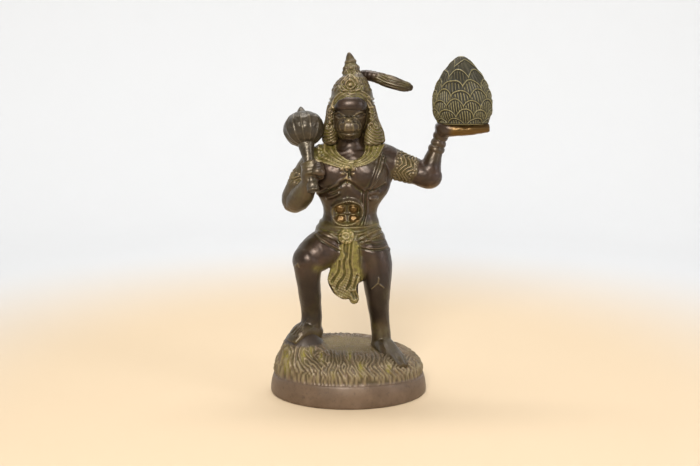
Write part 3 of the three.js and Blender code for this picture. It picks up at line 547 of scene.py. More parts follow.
liftedArm = {
    "upper": [
        [16, 1, 195, 14, 13], [25, 1, 195, 13.8, 13], [33, 0.8, 192.8, 12.8, 12.4],
        [41, 0.5, 189.6, 11.5, 11.5], [49, 0, 187, 10.8, 11], [57, -0.5, 184.4, 10.6, 10.8],
        [64.5, -1, 182, 10.6, 10.6], [69.6, -1, 180.6, 7.6],
    ],
    "elbow": ((65.6, -1, 181.6), (10.9, 10.6, 10.9)),
    "fore": [
        [65.5, -1, 181.5, 9.6], [66.5, -1.2, 187, 9.4, 9.8], [68, -1.6, 193, 7.8, 8.8],
        [69.8, -2, 199, 6.6, 7.2], [71.8, -2, 205, 5.9, 6], [73.8, -2, 211, 5.4], [75.6, -2, 218, 5.8, 6],
    ],
    "armlet": ((37.4, 0.6, 190.8), (54.4, -0.3, 185.3), 11.4),
    "palm": [
        [70.8, -2, 219.4, 6, 4], [74.5, -2, 219.8, 10, 5.6], [80.5, -2, 219.6, 12.4, 5.9],
        [88.5, -2, 219.7, 13.2, 5.4], [97, -2, 220.1, 13, 4.9], [105.5, -2, 220.6, 12.2, 4.3],
        [112.5, -2, 221.2, 11, 3.6],
    ],
    "wrist": [(71.6, -2, 203.5), (74.6, -2, 213.5)],
}
maceShape = {
    "ball": (-35.6, -10.0, 220.3), "foot": (-27.6, -30.5, 173.0), "radius": 16.2, "halfLength": 14.0,
    "seams": 14, "neck": 6.4, "handle": 4.2, "grip": 0.655, "fingerStep": 2.75, "finger": 1.75,
    "palmGap": 1.1,
    "handBack": [((-31.4, -25, 184.5), (6.4, 5.4, 8.8)), ((-25.8, -23.6, 187), (5.2, 4.4, 5.2))],
    "knob": [
        [0, -1.5], [4.6, -1.5], [4.8, 0.2], [3.9, 1.2], [3.4, 2.2], [2.4, 3.8], [1.4, 5.2], [0.6, 6.0],
        [0, 6.2],
    ],
}
armletBand = {"dots": 26, "zigzags": 5, "swing": 5.5, "pitch": 3.3}


def maceAxis(m):
    ballAt, foot = np.array(m["ball"]), np.array(m["foot"])
    length = np.linalg.norm(foot - ballAt)
    return ballAt, (foot - ballAt) / length, length


def palmShell(arm):
    # Open hand: the fingers lie side by side along it, so its underside has shallow grooves.
    def fingers(share, angle):
        return 0.5 * ramp(share, 0.35, 0.6) * np.cos(8 * angle)
    return loft(arm["palm"], 40, 64, facing=(0, 0, 1), square=3, relief=fingers, domed=0.2)


def fistShells(m):
    # Four fingers curled round the handle, one under another, and the back of the hand.
    ballAt, down, length = maceAxis(m)
    grip = ballAt + down * length * m["grip"]
    side, deep = crossAxes(down)
    shells = []
    for place in (-1.5, -0.5, 0.5, 1.5):
        turn = np.radians(np.linspace(-50, 175, 12))[:, None]
        reach = (m["handle"] + m["palmGap"]) * (1 + 0.5 * np.maximum(0, -np.cos(turn)))
        line = grip + down * place * m["fingerStep"] + reach * (np.cos(turn) * side + np.sin(turn) * deep)
        size = m["finger"] - 0.35 * np.abs(np.linspace(-1, 1, 12)) ** 4
        shells.append(loft(np.column_stack([line, size]), 30, 14, facing=tuple(down), domed=0.9))
    return shells + [ball(*lump) for lump in m["handBack"]]


def armlet(at, low, high, radius):
    # A wide engraved band: a ridge and a row of dots at each end, chevrons between, as height and cover.
    low, high = np.array(low, float), np.array(high, float)
    axis = unit(high - low)
    reach = np.linalg.norm(high - low)
    away = at - low
    along = away @ axis
    spoke = away - along[:, None] * axis
    near = ramp(np.linalg.norm(spoke, axis=1), radius + 5, radius + 2)
    side, deep = crossAxes(axis)
    turn = np.arctan2(spoke @ deep, spoke @ side)
    along = along + 0.7 * np.sin(3 * turn + along / 3) + 0.4 * np.sin(7 * turn)
    within = ramp(along, -1.5, 0) * ramp(along, reach + 1.5, reach)
    ends = np.minimum(np.abs(along), np.abs(along - reach))
    dots = bell(ends - 2.0, 0.8) * (0.5 + 0.5 * np.cos(armletBand["dots"] * turn))
    zigzag = armletBand["swing"] * np.abs((turn * armletBand["zigzags"] / tau * 2) % 2 - 1)
    chevron = np.cos(tau * (along + zigzag + 0.8 * np.sin(5 * turn)) / armletBand["pitch"])
    chevron *= ramp(ends, 2.8, 3.8) * (along > 0) * (along < reach)
    height = (0.35 * bell(ends, 0.9) + 0.8 * dots) * within + 0.9 * chevron
    return near * height, near * within


# Breasts are (x, z, half width, half height). The bead, petals and bosses are (x, z) of their middles.
chestCarving = {
    "collarInner": [
        (-9.5, 208.4), (-10, 203.1), (-6.8, 198.5), (-1.4, 194.8), (4, 193.9), (9.4, 195.6), (13, 200.3),
        (14, 206.7),
    ],
    "collarOuter": [
        (-28.5, 205.9), (-28.6, 198.5), (-25.8, 193.1), (-19.6, 191.6), (-13.4, 189.7), (-5.2, 187.7),
        (1.3, 187.5), (7.8, 188.6), (15.8, 190.8), (23, 195.8), (27.3, 203.1), (29.2, 206.7),
    ],
    "collarRows": 5,
    "breastEdge": [
        [(-27, 168.5), (-20.8, 170.3), (-16.3, 172.3), (-12.6, 173.6), (-9.3, 175.6), (-6.1, 177.7),
         (-2.4, 179.5)],
        [(0.9, 178.5), (4.2, 176.2), (7.4, 173.1), (11.9, 170.4)],
        [(17.4, 170.7), (22.8, 171.9), (29.3, 176.6)],
    ],
    "ribs": [
        [(-14, 172.2), (-11, 172.9), (-8, 174.4)], [(-15.5, 168.2), (-11.2, 169.6), (-7.4, 171.6)],
        [(-16.7, 163.8), (-11.8, 165.2), (-7.7, 167.4)], [(17.7, 167), (24.2, 168.5)],
        [(17.7, 162.9), (22.6, 163.6)],
    ],
    "threads": [
        [(26.9, 199.3), (22.9, 189.1), (19.3, 179.7), (16.4, 172.7), (13.2, 169.4), (12.2, 163.2),
         (12, 156.2), (10.8, 147.5), (7.9, 140.8)],
        [(29, 196.9), (24.8, 187.1), (20.9, 178.1), (16.8, 170.7), (15.2, 164.1), (14.8, 155.8),
         (14.2, 147.5), (12.8, 140.8)],
    ],
    "sternum": [(-0.6, 186), (-0.8, 176), (-1.0, 163)], "pendantBead": (-0.5, 187.4),
    "pendantPetals": [(-5.0, 186.9), (4.0, 186.9), (-4.0, 183.4), (3.0, 183.2)],
    "pendantLeaf": [(-0.8, 182.6), (-0.9, 175.6)],
    "plaqueFrame": [
        (-12.7, 155.8), (-12.5, 150.8), (-11.5, 145), (-8.6, 141.4), (-2, 140.3), (4.6, 141.4),
        (9.1, 144.6), (11, 150), (10.8, 155.8), (7.9, 159.9), (1.3, 161.8), (-6.1, 160.5), (-10.2, 158.4),
        (-12.7, 155.8),
    ],
    "plaqueCross": [[(-1.2, 159.5), (-1.3, 142.0)], [(-10, 150.6), (8.9, 150.6)]],
    "bosses": [(-6.6, 154.4), (4.3, 154.4), (-6.2, 146.2), (4.4, 146.2)],
    "breasts": [(-14.5, 184.5, 15, 13.5), (17, 184, 15.5, 13.5)],
}
collar = {"middle": (2.0, -1.2), "top": 207.0, "rows": (1.0, 0.8, 0.6, 0.4, 0.2)}


def collarLine(share, steps=72):
    # The rows spread evenly from the neck: x = (10 + 17 share) sin, y = -(11 + 6.4 share) cos,
    # and in front they drop with ((1 + cos) / 2)^3.
    turn = np.linspace(0, tau, steps + 1)
    toFront = np.cos(turn)
    drop = 14.5 * share * ((1 + toFront) / 2) ** 3
    return np.stack([collar["middle"][0] + (10 + 17 * share) * np.sin(turn),
                     collar["middle"][1] - (11 + 6.4 * share) * toFront,
                     collar["top"] - drop - 2.4 * share], axis=-1)


def muscleHeight(c, at, drawn, onChest):
    # Breast muscles with a hard lower edge, breastbone, ribs, spine and shoulder blades.
    ax, ay, az = at.T
    x, z = drawn.T
    chest = 5.0 * sum(swell(oval(x, z, *breast), 0.75) for breast in c["breasts"])
    chest += 1.2 * ridges(drawn, c["breastEdge"], 16, 1.5)
    chest -= 1.6 * ridges(drawn, c["breastEdge"], 16, 2.0, drop=2.8)
    chest += 2.2 * ridges(drawn, c["ribs"], 8, 1.5) - 1.0 * bell(nearLine(drawn, c["sternum"], 12), 2.2)
    spine = bell(ax - 2, 3.5) * ramp(z, 142, 152) * ramp(z, 204, 190)
    blades = bell(oval(ax, az, -14, 186, 9, 11), 1) + bell(oval(ax, az, 18, 186, 9, 11), 1)
    return chest * onChest + 1.6 * (blades - spine) * ramp(ay, 5, 9)


def collarRelief(c, at, drawn, front):
    # Height and cover of the collar: rows of wire and one of beads in front, plain rows behind.
    x, z = drawn.T
    inner, outer = spline(c["collarInner"], 36), spline(c["collarOuter"], 36)
    toInner, toOuter = nearLine(drawn, inner), nearLine(drawn, outer)
    gaps = c["collarRows"] - 1
    row = gaps * toInner / np.maximum(toInner + toOuter, 1e-6)
    band = insideOutline(drawn, np.vstack([inner, outer[::-1]])) * ramp(np.abs(x - 2), 34, 31)
    wires = 0.5 + 0.5 * np.cos(tau * row)
    beads = bell(row - 0.7 * gaps, 0.42) * np.cos(62 * np.arctan2(x - 3, 205 - z))
    cover = band * ramp(at[:, 1], 2, -3) * front
    height = cover * (0.5 + 1.15 * wires ** 1.5 + 0.5 * beads)
    behind = ramp(at[:, 1], -2, 3)
    for share in collar["rows"]:
        gap = nearLine(at, collarLine(share))
        height += 0.95 * bell(gap, 0.95) * behind
        cover = np.maximum(cover, bell(gap, 2.6) * behind)
    return height, cover


def pendantRelief(c, drawn):
    # Height and cover of the pendant on the breastbone: a bead between petals, over a leaf.
    x, z = drawn.T
    r = oval(x, z, *c["pendantBead"])
    leaf = nearLine(drawn, c["pendantLeaf"])
    height = 2.2 * ramp(2.9 - r, 0, 1.6) + 0.9 * bell(r - 3.6, 0.5)
    height += 1.6 * sum(bell(oval(x, z, *petal, 1.7, 1.2), 1) for petal in c["pendantPetals"])
    height += 1.5 * bell(leaf, 1.2 - 0.6 * ramp(z, 180, 176))
    return height, bell(r, 5.5) + bell(leaf, 2.2)


def plaqueRelief(c, drawn, front, belly):
    # Plaque on the belly, a raised frame round a sunk cross and four petalled bosses: its height, where
    # it is, the distance to its frame, and where the bosses are.
    x, z = drawn.T
    frameLine = spline(c["plaqueFrame"], 60)
    inPlaque = insideOutline(drawn, frameLine) * front
    toFrame = nearLine(drawn, frameLine)
    sunk = 1.6 - 2.0 * ramp(toFrame, 1.2, 3.0) * ramp(z, 160, 157)
    height = belly * (2.2 * bell(toFrame, 1.3) + inPlaque * sunk)
    height += 1.0 * ridges(drawn, c["plaqueCross"], None, 0.7) * inPlaque
    bosses = np.zeros(len(x))
    for cx, cz in c["bosses"]:
        r = ((np.abs(x - cx) / 1.15) ** 2.8 + np.abs(z - cz) ** 2.8) ** (1 / 2.8)
        height += 2.4 * ramp(3.9 - r, 0, 2.2) * inPlaque
        bosses = np.maximum(bosses, ramp(4.0 - r, 0, 0.8) * inPlaque)
    return height, inPlaque, toFrame, bosses


def wristHeight(arm, at):
    # Three plain rings round the wrist.
    low, high = (np.array(p, float) for p in arm["wrist"])
    reach = np.linalg.norm(high - low)
    axis = unit(high - low)
    along = (at - low) @ axis
    onWrist = ramp(np.linalg.norm(at - low - along[:, None] * axis, axis=1), 12, 9)
    return 0.9 * onWrist * sum(swell((along - reach * share) / 2.2, 0.5) for share in (0, 0.5, 1))


def makeTorso():
    left, right, c = maceArm, liftedArm, chestCarving
    shells = [loft(trunk["stations"], 60, 96, square=2.3), loft(trunk["neck"], 30, 48),
              loft(left["upper"], 44, 48), loft(left["fore"], 30, 40),
              loft(right["upper"], 44, 48), loft(right["fore"], 44, 40), ball(*right["elbow"]),
              palmShell(right), *fistShells(maceShape)]
    obj = fused("torso_and_arms", shells, voxel=0.6, rounds=12)
    at, normal, drawn, front = skinOf(obj)
    ax, ay, az = at.T
    x, z = drawn.T
    onChest = front * ramp(ay, -5, -8) * ramp(np.abs(x - 2), 36, 32)
    belly = front * ramp(ay, -6, -9)
    trunkFace = -19.5 - 8 * (x > -20)
    onFrontTrunk = front * ramp(np.abs(x - 1), 34, 28) * ramp(ay, trunkFace, trunkFace + 2)
    collarHeight, cover = collarRelief(c, at, drawn, front)
    pendantHeight, pendant = pendantRelief(c, drawn)
    plaqueHeight, inPlaque, toFrame, bosses = plaqueRelief(c, drawn, front, belly)
    (leftHeight, leftBand), (rightHeight, rightBand) = [armlet(at, *arm["armlet"]) for arm in (left, right)]
    bands = np.maximum(leftBand, rightBand)
    # The sacred thread is two cords side by side from the shoulder to the belt
    height = muscleHeight(c, at, drawn, onChest) + 2.3 * ridges(drawn, c["threads"], 40, 1.05) * onFrontTrunk
    height += collarHeight + pendantHeight * onChest + plaqueHeight
    height += leftHeight + rightHeight + wristHeight(right, at)
    height += 0.2 * mottle(at, 11, 1) + 0.08 * mottle(at, 4, 2)
    carve(obj, height)
    # Residue lies in the collar, armlets, hollows and round the plaque, copper on palm, elbows and bosses
    dip = hollows(obj)
    onArm = ramp(ax, -24, -30)
    onPalm = ramp(ax, 78, 84) * ramp(az, 210, 213)
    besideArm = ramp(np.abs(x), 40, 30)
    residue = 0.7 * cover + 0.18 * bands * (1 - 0.6 * ramp(ax, -24, -28)) + 0.25 * ramp(dip, 0.15, 0.6)
    residue += 0.15 * inPlaque * (1 - bosses) + 0.3 * ramp(z, 146, 141) + 0.12 * onArm
    residue += 0.1 * ramp(mottle(at, 24, 7), 0.0, 1.0)
    residue += 0.12 * ramp(np.abs(x - 1), 14, 21) * ramp(z, 170, 158) * besideArm
    # Ridges of collar, armlets, pendant and plaque get rubbed metal that also acts as a painted highlight
    wearAndHighlight = 0.45 * ramp(-dip, 0.12, 0.5) * (0.15 + 0.85 * np.maximum(cover, bands))
    wearAndHighlight += 0.8 * pendant * ramp(-dip, 0.08, 0.35) + 0.12 * bell(toFrame, 1.4) * belly + 0.05 * onArm
    under = ramp(-normal[:, 2], 0.35, 0.9)
    elbows = bell(oval(ax, az, 67, 171), 8) + bell(oval(ax, az, -45, 150), 6)
    copper = 0.7 * onPalm * ramp(z, 229, 216) + 0.5 * under * elbows + 0.5 * bosses
    # Painted shade in creases, with dark patina; the belly under the breasts is darker
    patinaAndShade = np.maximum(ramp(dip, 0.15, 0.6), 0.25 * ramp(z, 172, 160) * besideArm)
    dress(obj, "figure", residue * (1 - onPalm), wearAndHighlight, patinaAndShade, copper)


makeTorso()
print("torso made")


# Hips, legs, feet and cloth

# Hems run right round: (x, y, z, half width, half depth, rise to the back, rise to +X).
hips = {
    "stations": [
        [2, 1, 111, 19, 11], [1.5, 1, 119, 26, 15.5], [0.8, 0.5, 127, 29.5, 17], [0.8, 0, 135, 28.5, 17.2],
        [1.4, 0, 142, 24.6, 16.2],
    ],
    "waistHems": [(1.2, 0, 143.6, 23.8, 16.4, 2.4), (1.1, 0, 139, 26.2, 17.2, 3)],
    "thighHem": (20, -0.4, 120.5, 14.4, 15.4, 1.2, 0.6),
}
standingLeg = {
    "leg": [
        [13, 1, 131, 14, 15.5], [19, 0, 120, 14.5, 15.5], [22.6, -1, 109, 13.6, 14.6],
        [23.6, -2, 99, 12.4, 13.2], [23.9, -2.5, 91, 11.3, 12], [24.4, -1, 82, 10.2, 11.4],
        [25, 0.8, 73, 9.2, 11], [25.9, 1.8, 64, 8.3, 9.4], [26.7, 2, 56, 8.1, 8.6],
        [27.4, 1.5, 48, 8.2, 8.8], [28, 1, 38, 8.6, 9.4], [28, 1, 32, 8.6, 9.4],
    ],
    "foot": [
        [25.2, 9, 35, 6.5], [27.2, 2, 37, 8.2, 10], [30.5, -6, 37.5, 8.6, 8.4], [34.6, -15, 35, 9.4, 5.6],
        [38.8, -24, 32, 9.8, 4], [41.8, -31, 29.5, 8, 3],
    ],
    "knee": (24.2, -13, 93),
}
bentLeg = {
    "thigh": [
        [-3, 2, 127, 15.2], [-9, -1, 126.4, 15.6], [-15, -4, 125, 16], [-21.5, -8, 121.8, 16],
        [-27.5, -12, 118, 15.2], [-31.8, -15, 115, 13.8],
    ],
    "kneeBall": ((-32.2, -15.6, 114.5), (13.4, 13.4, 13.6)),
    "shin": [
        [-32.2, -16, 117, 11.5], [-32.6, -16.5, 112, 12.2, 12], [-32.8, -15.8, 104, 10.8, 11.6],
        [-32.4, -13.5, 94, 9.6, 11], [-31.6, -11, 84, 9.2, 10.4], [-30.8, -9, 74, 8.6, 9],
        [-30.4, -8, 66, 8.5, 8.8], [-30.9, -8, 58, 8.8, 9.4], [-31, -7.5, 50, 9, 10.4],
        [-31, -7, 42, 9, 10.4], [-31, -7, 38, 9, 10],
    ],
    "foot": [
        [-29, -6, 46, 5, 6], [-29.5, -8, 50, 8.4, 9.6], [-34, -11.4, 53.8, 9, 8.8],
        [-39, -14.6, 53.6, 9, 6.6], [-43.4, -17.6, 50.4, 8.8, 4.2], [-46.6, -19.6, 47.4, 8, 2.8],
    ],
    "knee": (-33, -28, 117),
}
clothShape = {
    "flap": [
        [0.8, -15, 136, 6, 3], [0.6, -16.4, 129, 8, 3.4], [-0.4, -16, 121, 9.6, 3.2],
        [-1.4, -15, 112, 11, 3], [-2.8, -14, 104, 12.6, 2.8], [-4, -13.5, 97, 13, 2.8],
        [-4.2, -13.5, 90, 10.4, 2.8], [-4.4, -14, 84.5, 6.4, 2.6], [-5, -14, 82.5, 3, 2],
    ],
    "lobe": [
        [5.4, -14.5, 100, 3.4, 2.6], [4.8, -14, 92, 3.2, 2.6], [4.4, -14, 86, 3.6, 2.6],
        [4.8, -14, 81, 4, 2.6], [5.6, -14, 78.6, 2.6, 2],
    ],
    "web": ((5.5, -7, 109), (12.5, 8.5, 16)),
}
hipCarving = {
    "hems": [
        [(-26.8, 133.3), (-24.7, 131.2), (-22.6, 129.1), (-17.7, 126.2), (-11.9, 122.8), (-7, 120.3)],
        [(8.7, 123.2), (13.7, 121.9), (18.7, 121.1), (25.3, 121.1), (34.4, 123.6)],
    ],
    "sash": [
        [(6.3, 129.5), (7.5, 131.8), (12, 134.1), (16.1, 136), (21.9, 137.9), (27.7, 140)],
        [(6.3, 127.8), (10.4, 129.1), (15.3, 131.6), (21.1, 135.8), (27.7, 138.3)],
        [(11.2, 125.7), (17, 127.8), (24.4, 131.6), (31.8, 135.8)],
    ],
    "folds": [
        [(9.6, 127.4), (16.2, 125.3), (24.4, 124.9), (34.3, 128.3)],
        [(14.5, 130.4), (21.1, 128.3), (28.6, 128.7)], [(-21.8, 137.5), (-15.2, 135.4), (-8.6, 134.1)],
        [(-24.3, 134.5), (-17.7, 131.6), (-10.3, 128.3), (-7.4, 125.7)],
    ],
    "knot": (-1.8, 131.2, 6.6),
    "flapOutline": [
        (-8.3, 123.4), (-7.5, 117), (-11.1, 110), (-15.3, 103.6), (-17.2, 100.1), (-18, 95.1),
        (-14.8, 88.7), (-11.4, 81.6), (-7.6, 77), (-3.6, 76.3), (-0.1, 74.6), (4.1, 72.4), (8.4, 74.6),
        (9.4, 79.5), (7.2, 84.5), (7, 88.7), (8.6, 91.6), (11, 93), (12.4, 95.1), (10.3, 100.8),
        (8.5, 113.1), (7.9, 126.2), (-0.1, 128.3), (-8.3, 123.4),
    ],
    "pleats": [
        [(-3.2, 126), (-3.3, 119.1), (-1.8, 114.9), (-3.8, 110), (-3.5, 104.3), (-3.1, 100.1), (-4.9, 95.9),
         (-8.4, 91.6), (-9.9, 87)],
        [(-0.6, 126), (-1.0, 118.4), (-1.4, 113.5)],
        [(2.5, 126), (1.7, 117), (1.3, 111.4), (1.7, 105.8), (2.7, 101.5), (2, 95.9), (0.5, 90.9),
         (-1.3, 87)],
        [(-7.4, 110), (-7.6, 105.8), (-8.6, 100.8), (-12.2, 95.5), (-13.6, 93)],
        [(7.4, 98), (6, 93), (4.5, 87.3)], [(2.7, 83.8), (4.9, 78.8)], [(5.2, 83.8), (7, 79.1)],
    ],
    "flapHem": [(-16.2, 95.1), (-14, 90.2), (-11.2, 85.5), (-8.4, 81.3), (-4.3, 79.8)],
    "kneeMarks": [
        [(19.6, 87.2), (24.6, 91.9), (29.2, 88)], [(24.6, 91.9), (25.1, 96.3)],
        [(-43.9, 106.3), (-41.8, 108.4), (-40.6, 105.5)],
    ],
    "toes": [
        [(-41.2, 59.7), (-49.4, 50.2)], [(-40.1, 57.5), (-47.8, 48.6)], [(-39.1, 55.5), (-45.9, 47.3)],
        [(-38.3, 53.5), (-44.1, 46.3)],
    ],
    "bigToe": [(-33.5, 61.6), (-38.1, 54.5), (-42.4, 47.3)],
    "tendons": [[(-28.3, 55.4), (-33.8, 50.7), (-38, 46.6)], [(28.6, 39.9), (31.9, 34.1)]],
    "besideFlap": [
        ([(8.5, 124), (9.5, 104), (11, 97)], 0.7, 2.0), ([(-13, 107), (-20, 103), (-27, 104)], 0.56, 3),
    ],
}


def toeRelief(share, angle):
    # Grooves part the toes over the front third of the foot.
    return 0.9 * ramp(share, 0.66, 0.86) * np.maximum(0, np.sin(angle)) ** 0.6 * np.cos(10 * angle)


def hemLine(cx, cy, cz, rx, ry, dip, tilt=0.0, steps=72):
    turn = np.linspace(0, tau, steps + 1)
    return np.stack([cx + rx * np.cos(turn), cy + ry * np.sin(turn),
                     cz + dip * np.sin(turn) + tilt * np.cos(turn)], axis=-1)


def hipRelief(h, at, drawn, front):
    # Height of the belt, hems, sash and folds of the hip cloth, and where its seams are.
    x, z = drawn.T
    waistHems = [hemLine(*line) for line in hips["waistHems"]]
    height = 1.3 * ridges(at, waistHems, None, 1.1)
    height += 1.0 * bell(nearLine(at, hemLine(*hips["thighHem"])), 1.0) * (1 - front)
    height += 1.0 * ridges(drawn, h["hems"], 20, 0.7) * front
    height -= 0.7 * ridges(drawn, h["hems"], 20, 0.9, drop=1.6) * front
    twist = 0.75 + 0.25 * np.cos(tau * (x + z) / 2.2)
    height += 1.3 * ridges(drawn, h["sash"], 24, 0.85) * front * twist
    height -= 0.8 * ridges(drawn, h["folds"], 12, 0.9) * front
    nearSash = 0.6 * bell(nearest(drawn, h["sash"], 24), 2.0) * front
    return height, np.maximum(bell(nearest(at, waistHems), 3.0), nearSash)


def flapRelief(h, at, drawn, front):
    # A few deep folds with a rounded lip along each, woven cross-hatching low down, and a hem: the height,
    # where the flap is, the distance to its folds, and the weave.
    x, z = drawn.T
    outline = spline(h["flapOutline"], 120)
    onFlap = insideOutline(drawn, outline) * front * ramp(at[:, 1], -6, -9)
    onFlap *= ramp(nearLine(drawn, outline), 0.0, 1.2)
    pleat = nearest(drawn, h["pleats"], 24)
    weave = np.maximum(np.cos(tau * (z + 0.5 * x) / 2.4), 0.7 * np.cos(tau * (x - 0.4 * z) / 2.2))
    height = 0.5 * bell(pleat - 1.7, 1.0) - 1.4 * bell(pleat, 0.65)
    height += 0.45 * weave * ramp(pleat, 1.0, 2.2) * ramp(z, 104, 94)
    height += 0.9 * bell(nearLine(drawn, h["flapHem"], 20), 0.7)
    return onFlap * height, onFlap, pleat, weave


def knotRelief(h, at, drawn, front):
    # Height and cover of the knot of the belt, a flower boss.
    x, z = drawn.T
    kx, kz, reach = h["knot"]
    r = oval(x, z, kx, kz)
    petals = 0.7 * np.cos(9 * np.arctan2(z - kz, x - kx)) * bell(r - 4.6, 1.3)
    boss = ramp(reach + 0.4 - r, 0, 1.4) * front * ramp(at[:, 1], -8, -12)
    rings = 0.8 * bell(r - 2.4, 0.6) - 0.5 * bell(r - 3.4, 0.4) + 0.8 * bell(r, 1.1)
    return boss * (2.2 + petals + rings), boss


def footHeight(h, at, drawn, front):
    # Toes of the raised foot, its big toe, and tendons on both feet.
    low = ramp(drawn[:, 1], 66, 63) * front
    toes = 0.6 * ridges(drawn, h["toes"], None, 0.55) * ramp(at[:, 0], -20, -24)
    bigToe = 0.5 * bell(nearLine(drawn, h["bigToe"], 10), 0.55)
    return low * (bigToe - toes + 0.35 * ridges(drawn, h["tendons"], None, 0.5))


def makeLegs():
    h = hipCarving
    shells = [loft(hips["stations"], 40, 96, square=2.3),
              loft(standingLeg["leg"], 60, 48), loft(bentLeg["thigh"], 36, 56), loft(bentLeg["shin"], 56, 44),
              ball(*bentLeg["kneeBall"], 48, 24),
              loft(standingLeg["foot"], 40, 80, facing=(0, 0, 1), square=2.4, relief=toeRelief),
              loft(bentLeg["foot"], 40, 80, facing=(0, 0, 1), square=2.4),
              loft(clothShape["flap"], 60, 88, square=3), loft(clothShape["lobe"], 30, 32, square=2.6),
              ball(*clothShape["web"], 40, 20)]
    obj = fused("hips_legs_and_cloth", shells, voxel=0.58, rounds=11)
    at, _, drawn, front = skinOf(obj)
    z = drawn[:, 1]
    height, seam = hipRelief(h, at, drawn, front)
    flapHeight, onFlap, pleat, weave = flapRelief(h, at, drawn, front)
    knotHeight, boss = knotRelief(h, at, drawn, front)
    kneeCaps = sum(bell(np.linalg.norm(at - leg["knee"], axis=1), 7) for leg in (standingLeg, bentLeg))
    marks = nearest(drawn, h["kneeMarks"])
    height += flapHeight + knotHeight + 0.5 * kneeCaps + 0.8 * bell(marks, 0.5) * front
    height += footHeight(h, at, drawn, front) + 0.12 * mottle(at, 11, 11) + 0.05 * mottle(at, 4, 12)
    carve(obj, height)
    # Residue fills the cloth and fades down it. The shins are darker, creases get painted shade with dark
    # patina, and ridges get rubbed metal that also acts as a painted highlight.
    dip = hollows(obj)
    onFoot = ramp(z, 64, 52)
    residue = onFlap * (0.3 + 0.6 * ramp(pleat, 0.3, 1.1)) * (1 - 0.4 * ramp(z, 104, 86))
    residue += 0.3 * seam + 0.3 * ramp(dip, 0.15, 0.6) + 0.6 * boss + 0.15 * onFoot
    for line, strength, width in h["besideFlap"]:
        residue += strength * bell(nearLine(drawn, line), width) * front
    residue += 0.2 * ramp(z, 124, 134) * (0.4 + 0.6 * ramp(mottle(at, 13, 18), -0.3, 0.7))
    residue += 0.08 * ramp(mottle(at, 22, 17), 0.1, 1)
    wearAndHighlight = 0.16 * ramp(-dip, 0.18, 0.6) + 0.15 * bell(marks, 0.6) * front + 0.45 * boss * ramp(-dip, 0.1, 0.5)
    wearAndHighlight *= 1 - 0.8 * onFoot
    rubbedWeave = 0.3 * ramp(weave, 0.6, 1) * ramp(z, 104, 96) * ramp(pleat, 0.8, 1.6)
    wearAndHighlight += onFlap * (0.15 * ramp(-dip, 0.08, 0.35) + rubbedWeave)
    shin = 0.62 * ramp(z, 110, 90) * (1 - onFlap) * (1 - 0.8 * onFoot)
    dress(obj, "figure", residue, wearAndHighlight, np.maximum(ramp(dip, 0.12, 0.45), shin))


makeLegs()
print("legs made")


# Head, hair and crown. Beads and nostrils are (x, z, radius), the muzzle is (x, z, half width, half
# height), and eyes, nose tip and garlands are (x, z) of their middles.

headShape = {
    "skull": [
        [0.9, -7, 211.6, 4.4, 9], [0.8, -7, 213, 7.4, 13.5], [0.7, -7, 215.6, 9.6, 16.8],
        [0.6, -6.5, 219, 11.2, 18.8], [0.6, -6, 222.5, 12.4, 19.6], [1, -4.5, 227, 13.8, 18.8],
        [1.3, -3, 231, 14.4, 18], [1.5, -2.2, 235, 14.8, 18.4], [1.7, -1.8, 240, 15, 19.2],
        [1.9, -1.4, 245, 15.6, 18.6], [2, -1, 250, 15.6, 16.5],
    ],
    "neck": [
        [1.8, 0.4, 199, 13.4, 12], [1.8, 0.4, 203.5, 12, 11.4], [1.8, 0.4, 208, 10.8, 10.2],
        [1.8, 0.6, 212, 10.4, 9.3], [1.8, 0.4, 217, 10.6, 8.8], [1.5, -1, 224, 11, 9.6],
    ],
    "ears": [((-14.4, -4, 229), (3, 4.4, 6.4)), ((17.6, -4, 229), (3, 4.4, 6.4))],
    "lockLeft": [
        [-10.4, -1, 244, 3.6, 12], [-13.6, -2, 235, 3.2, 11], [-14.2, -3.5, 227, 3.6, 9.8],
        [-14.6, -4, 218.5, 5.7, 9.6], [-14.2, -4, 211, 6.2, 8.4],
    ],
    "lockRight": [
        [14.8, -1, 244, 4, 12], [17.6, -2, 235, 3.8, 11], [19, -3.5, 226.5, 4.8, 9.8],
        [19.8, -4, 218, 7.6, 9.6], [20.8, -4, 210.5, 8.4, 8.4],
    ],
    "back": [
        [2.4, 6, 250, 14, 11], [2.6, 7.5, 240, 17, 12.5], [2.8, 8, 229, 19, 12], [3.4, 8, 218, 21.5, 11],
        [3.8, 8.5, 208, 22.5, 9.5], [3.8, 9, 201, 19, 7.5],
    ],
    "cap": [
        [2.6, 1.6, 240, 16.4, 16.6], [2.9, 1.4, 245, 17, 17.2], [2.8, 1.2, 251, 15.8, 16.8],
        [3, 1.6, 256.5, 13.2, 14.2], [2.8, 2.2, 260.5, 10, 11], [2.4, 2.7, 263, 7.0, 7.6],
        [2.3, 3, 264.8, 7.6, 7.8], [2.2, 3.1, 266.7, 6.4, 6.6], [2.1, 3.3, 268.6, 6.7, 6.8],
        [1.9, 3.5, 270.6, 4.9, 5], [1.8, 3.6, 272, 4.6, 4.7], [1.6, 3.7, 273.5, 5.1, 5.1],
        [1.3, 3.8, 275.2, 3.8], [0.8, 4, 277.8, 2.8], [0.4, 4, 280.2, 1.4],
    ],
    "jewel": ((1.8, -13, 255), (6, 3, 6.6)),
}
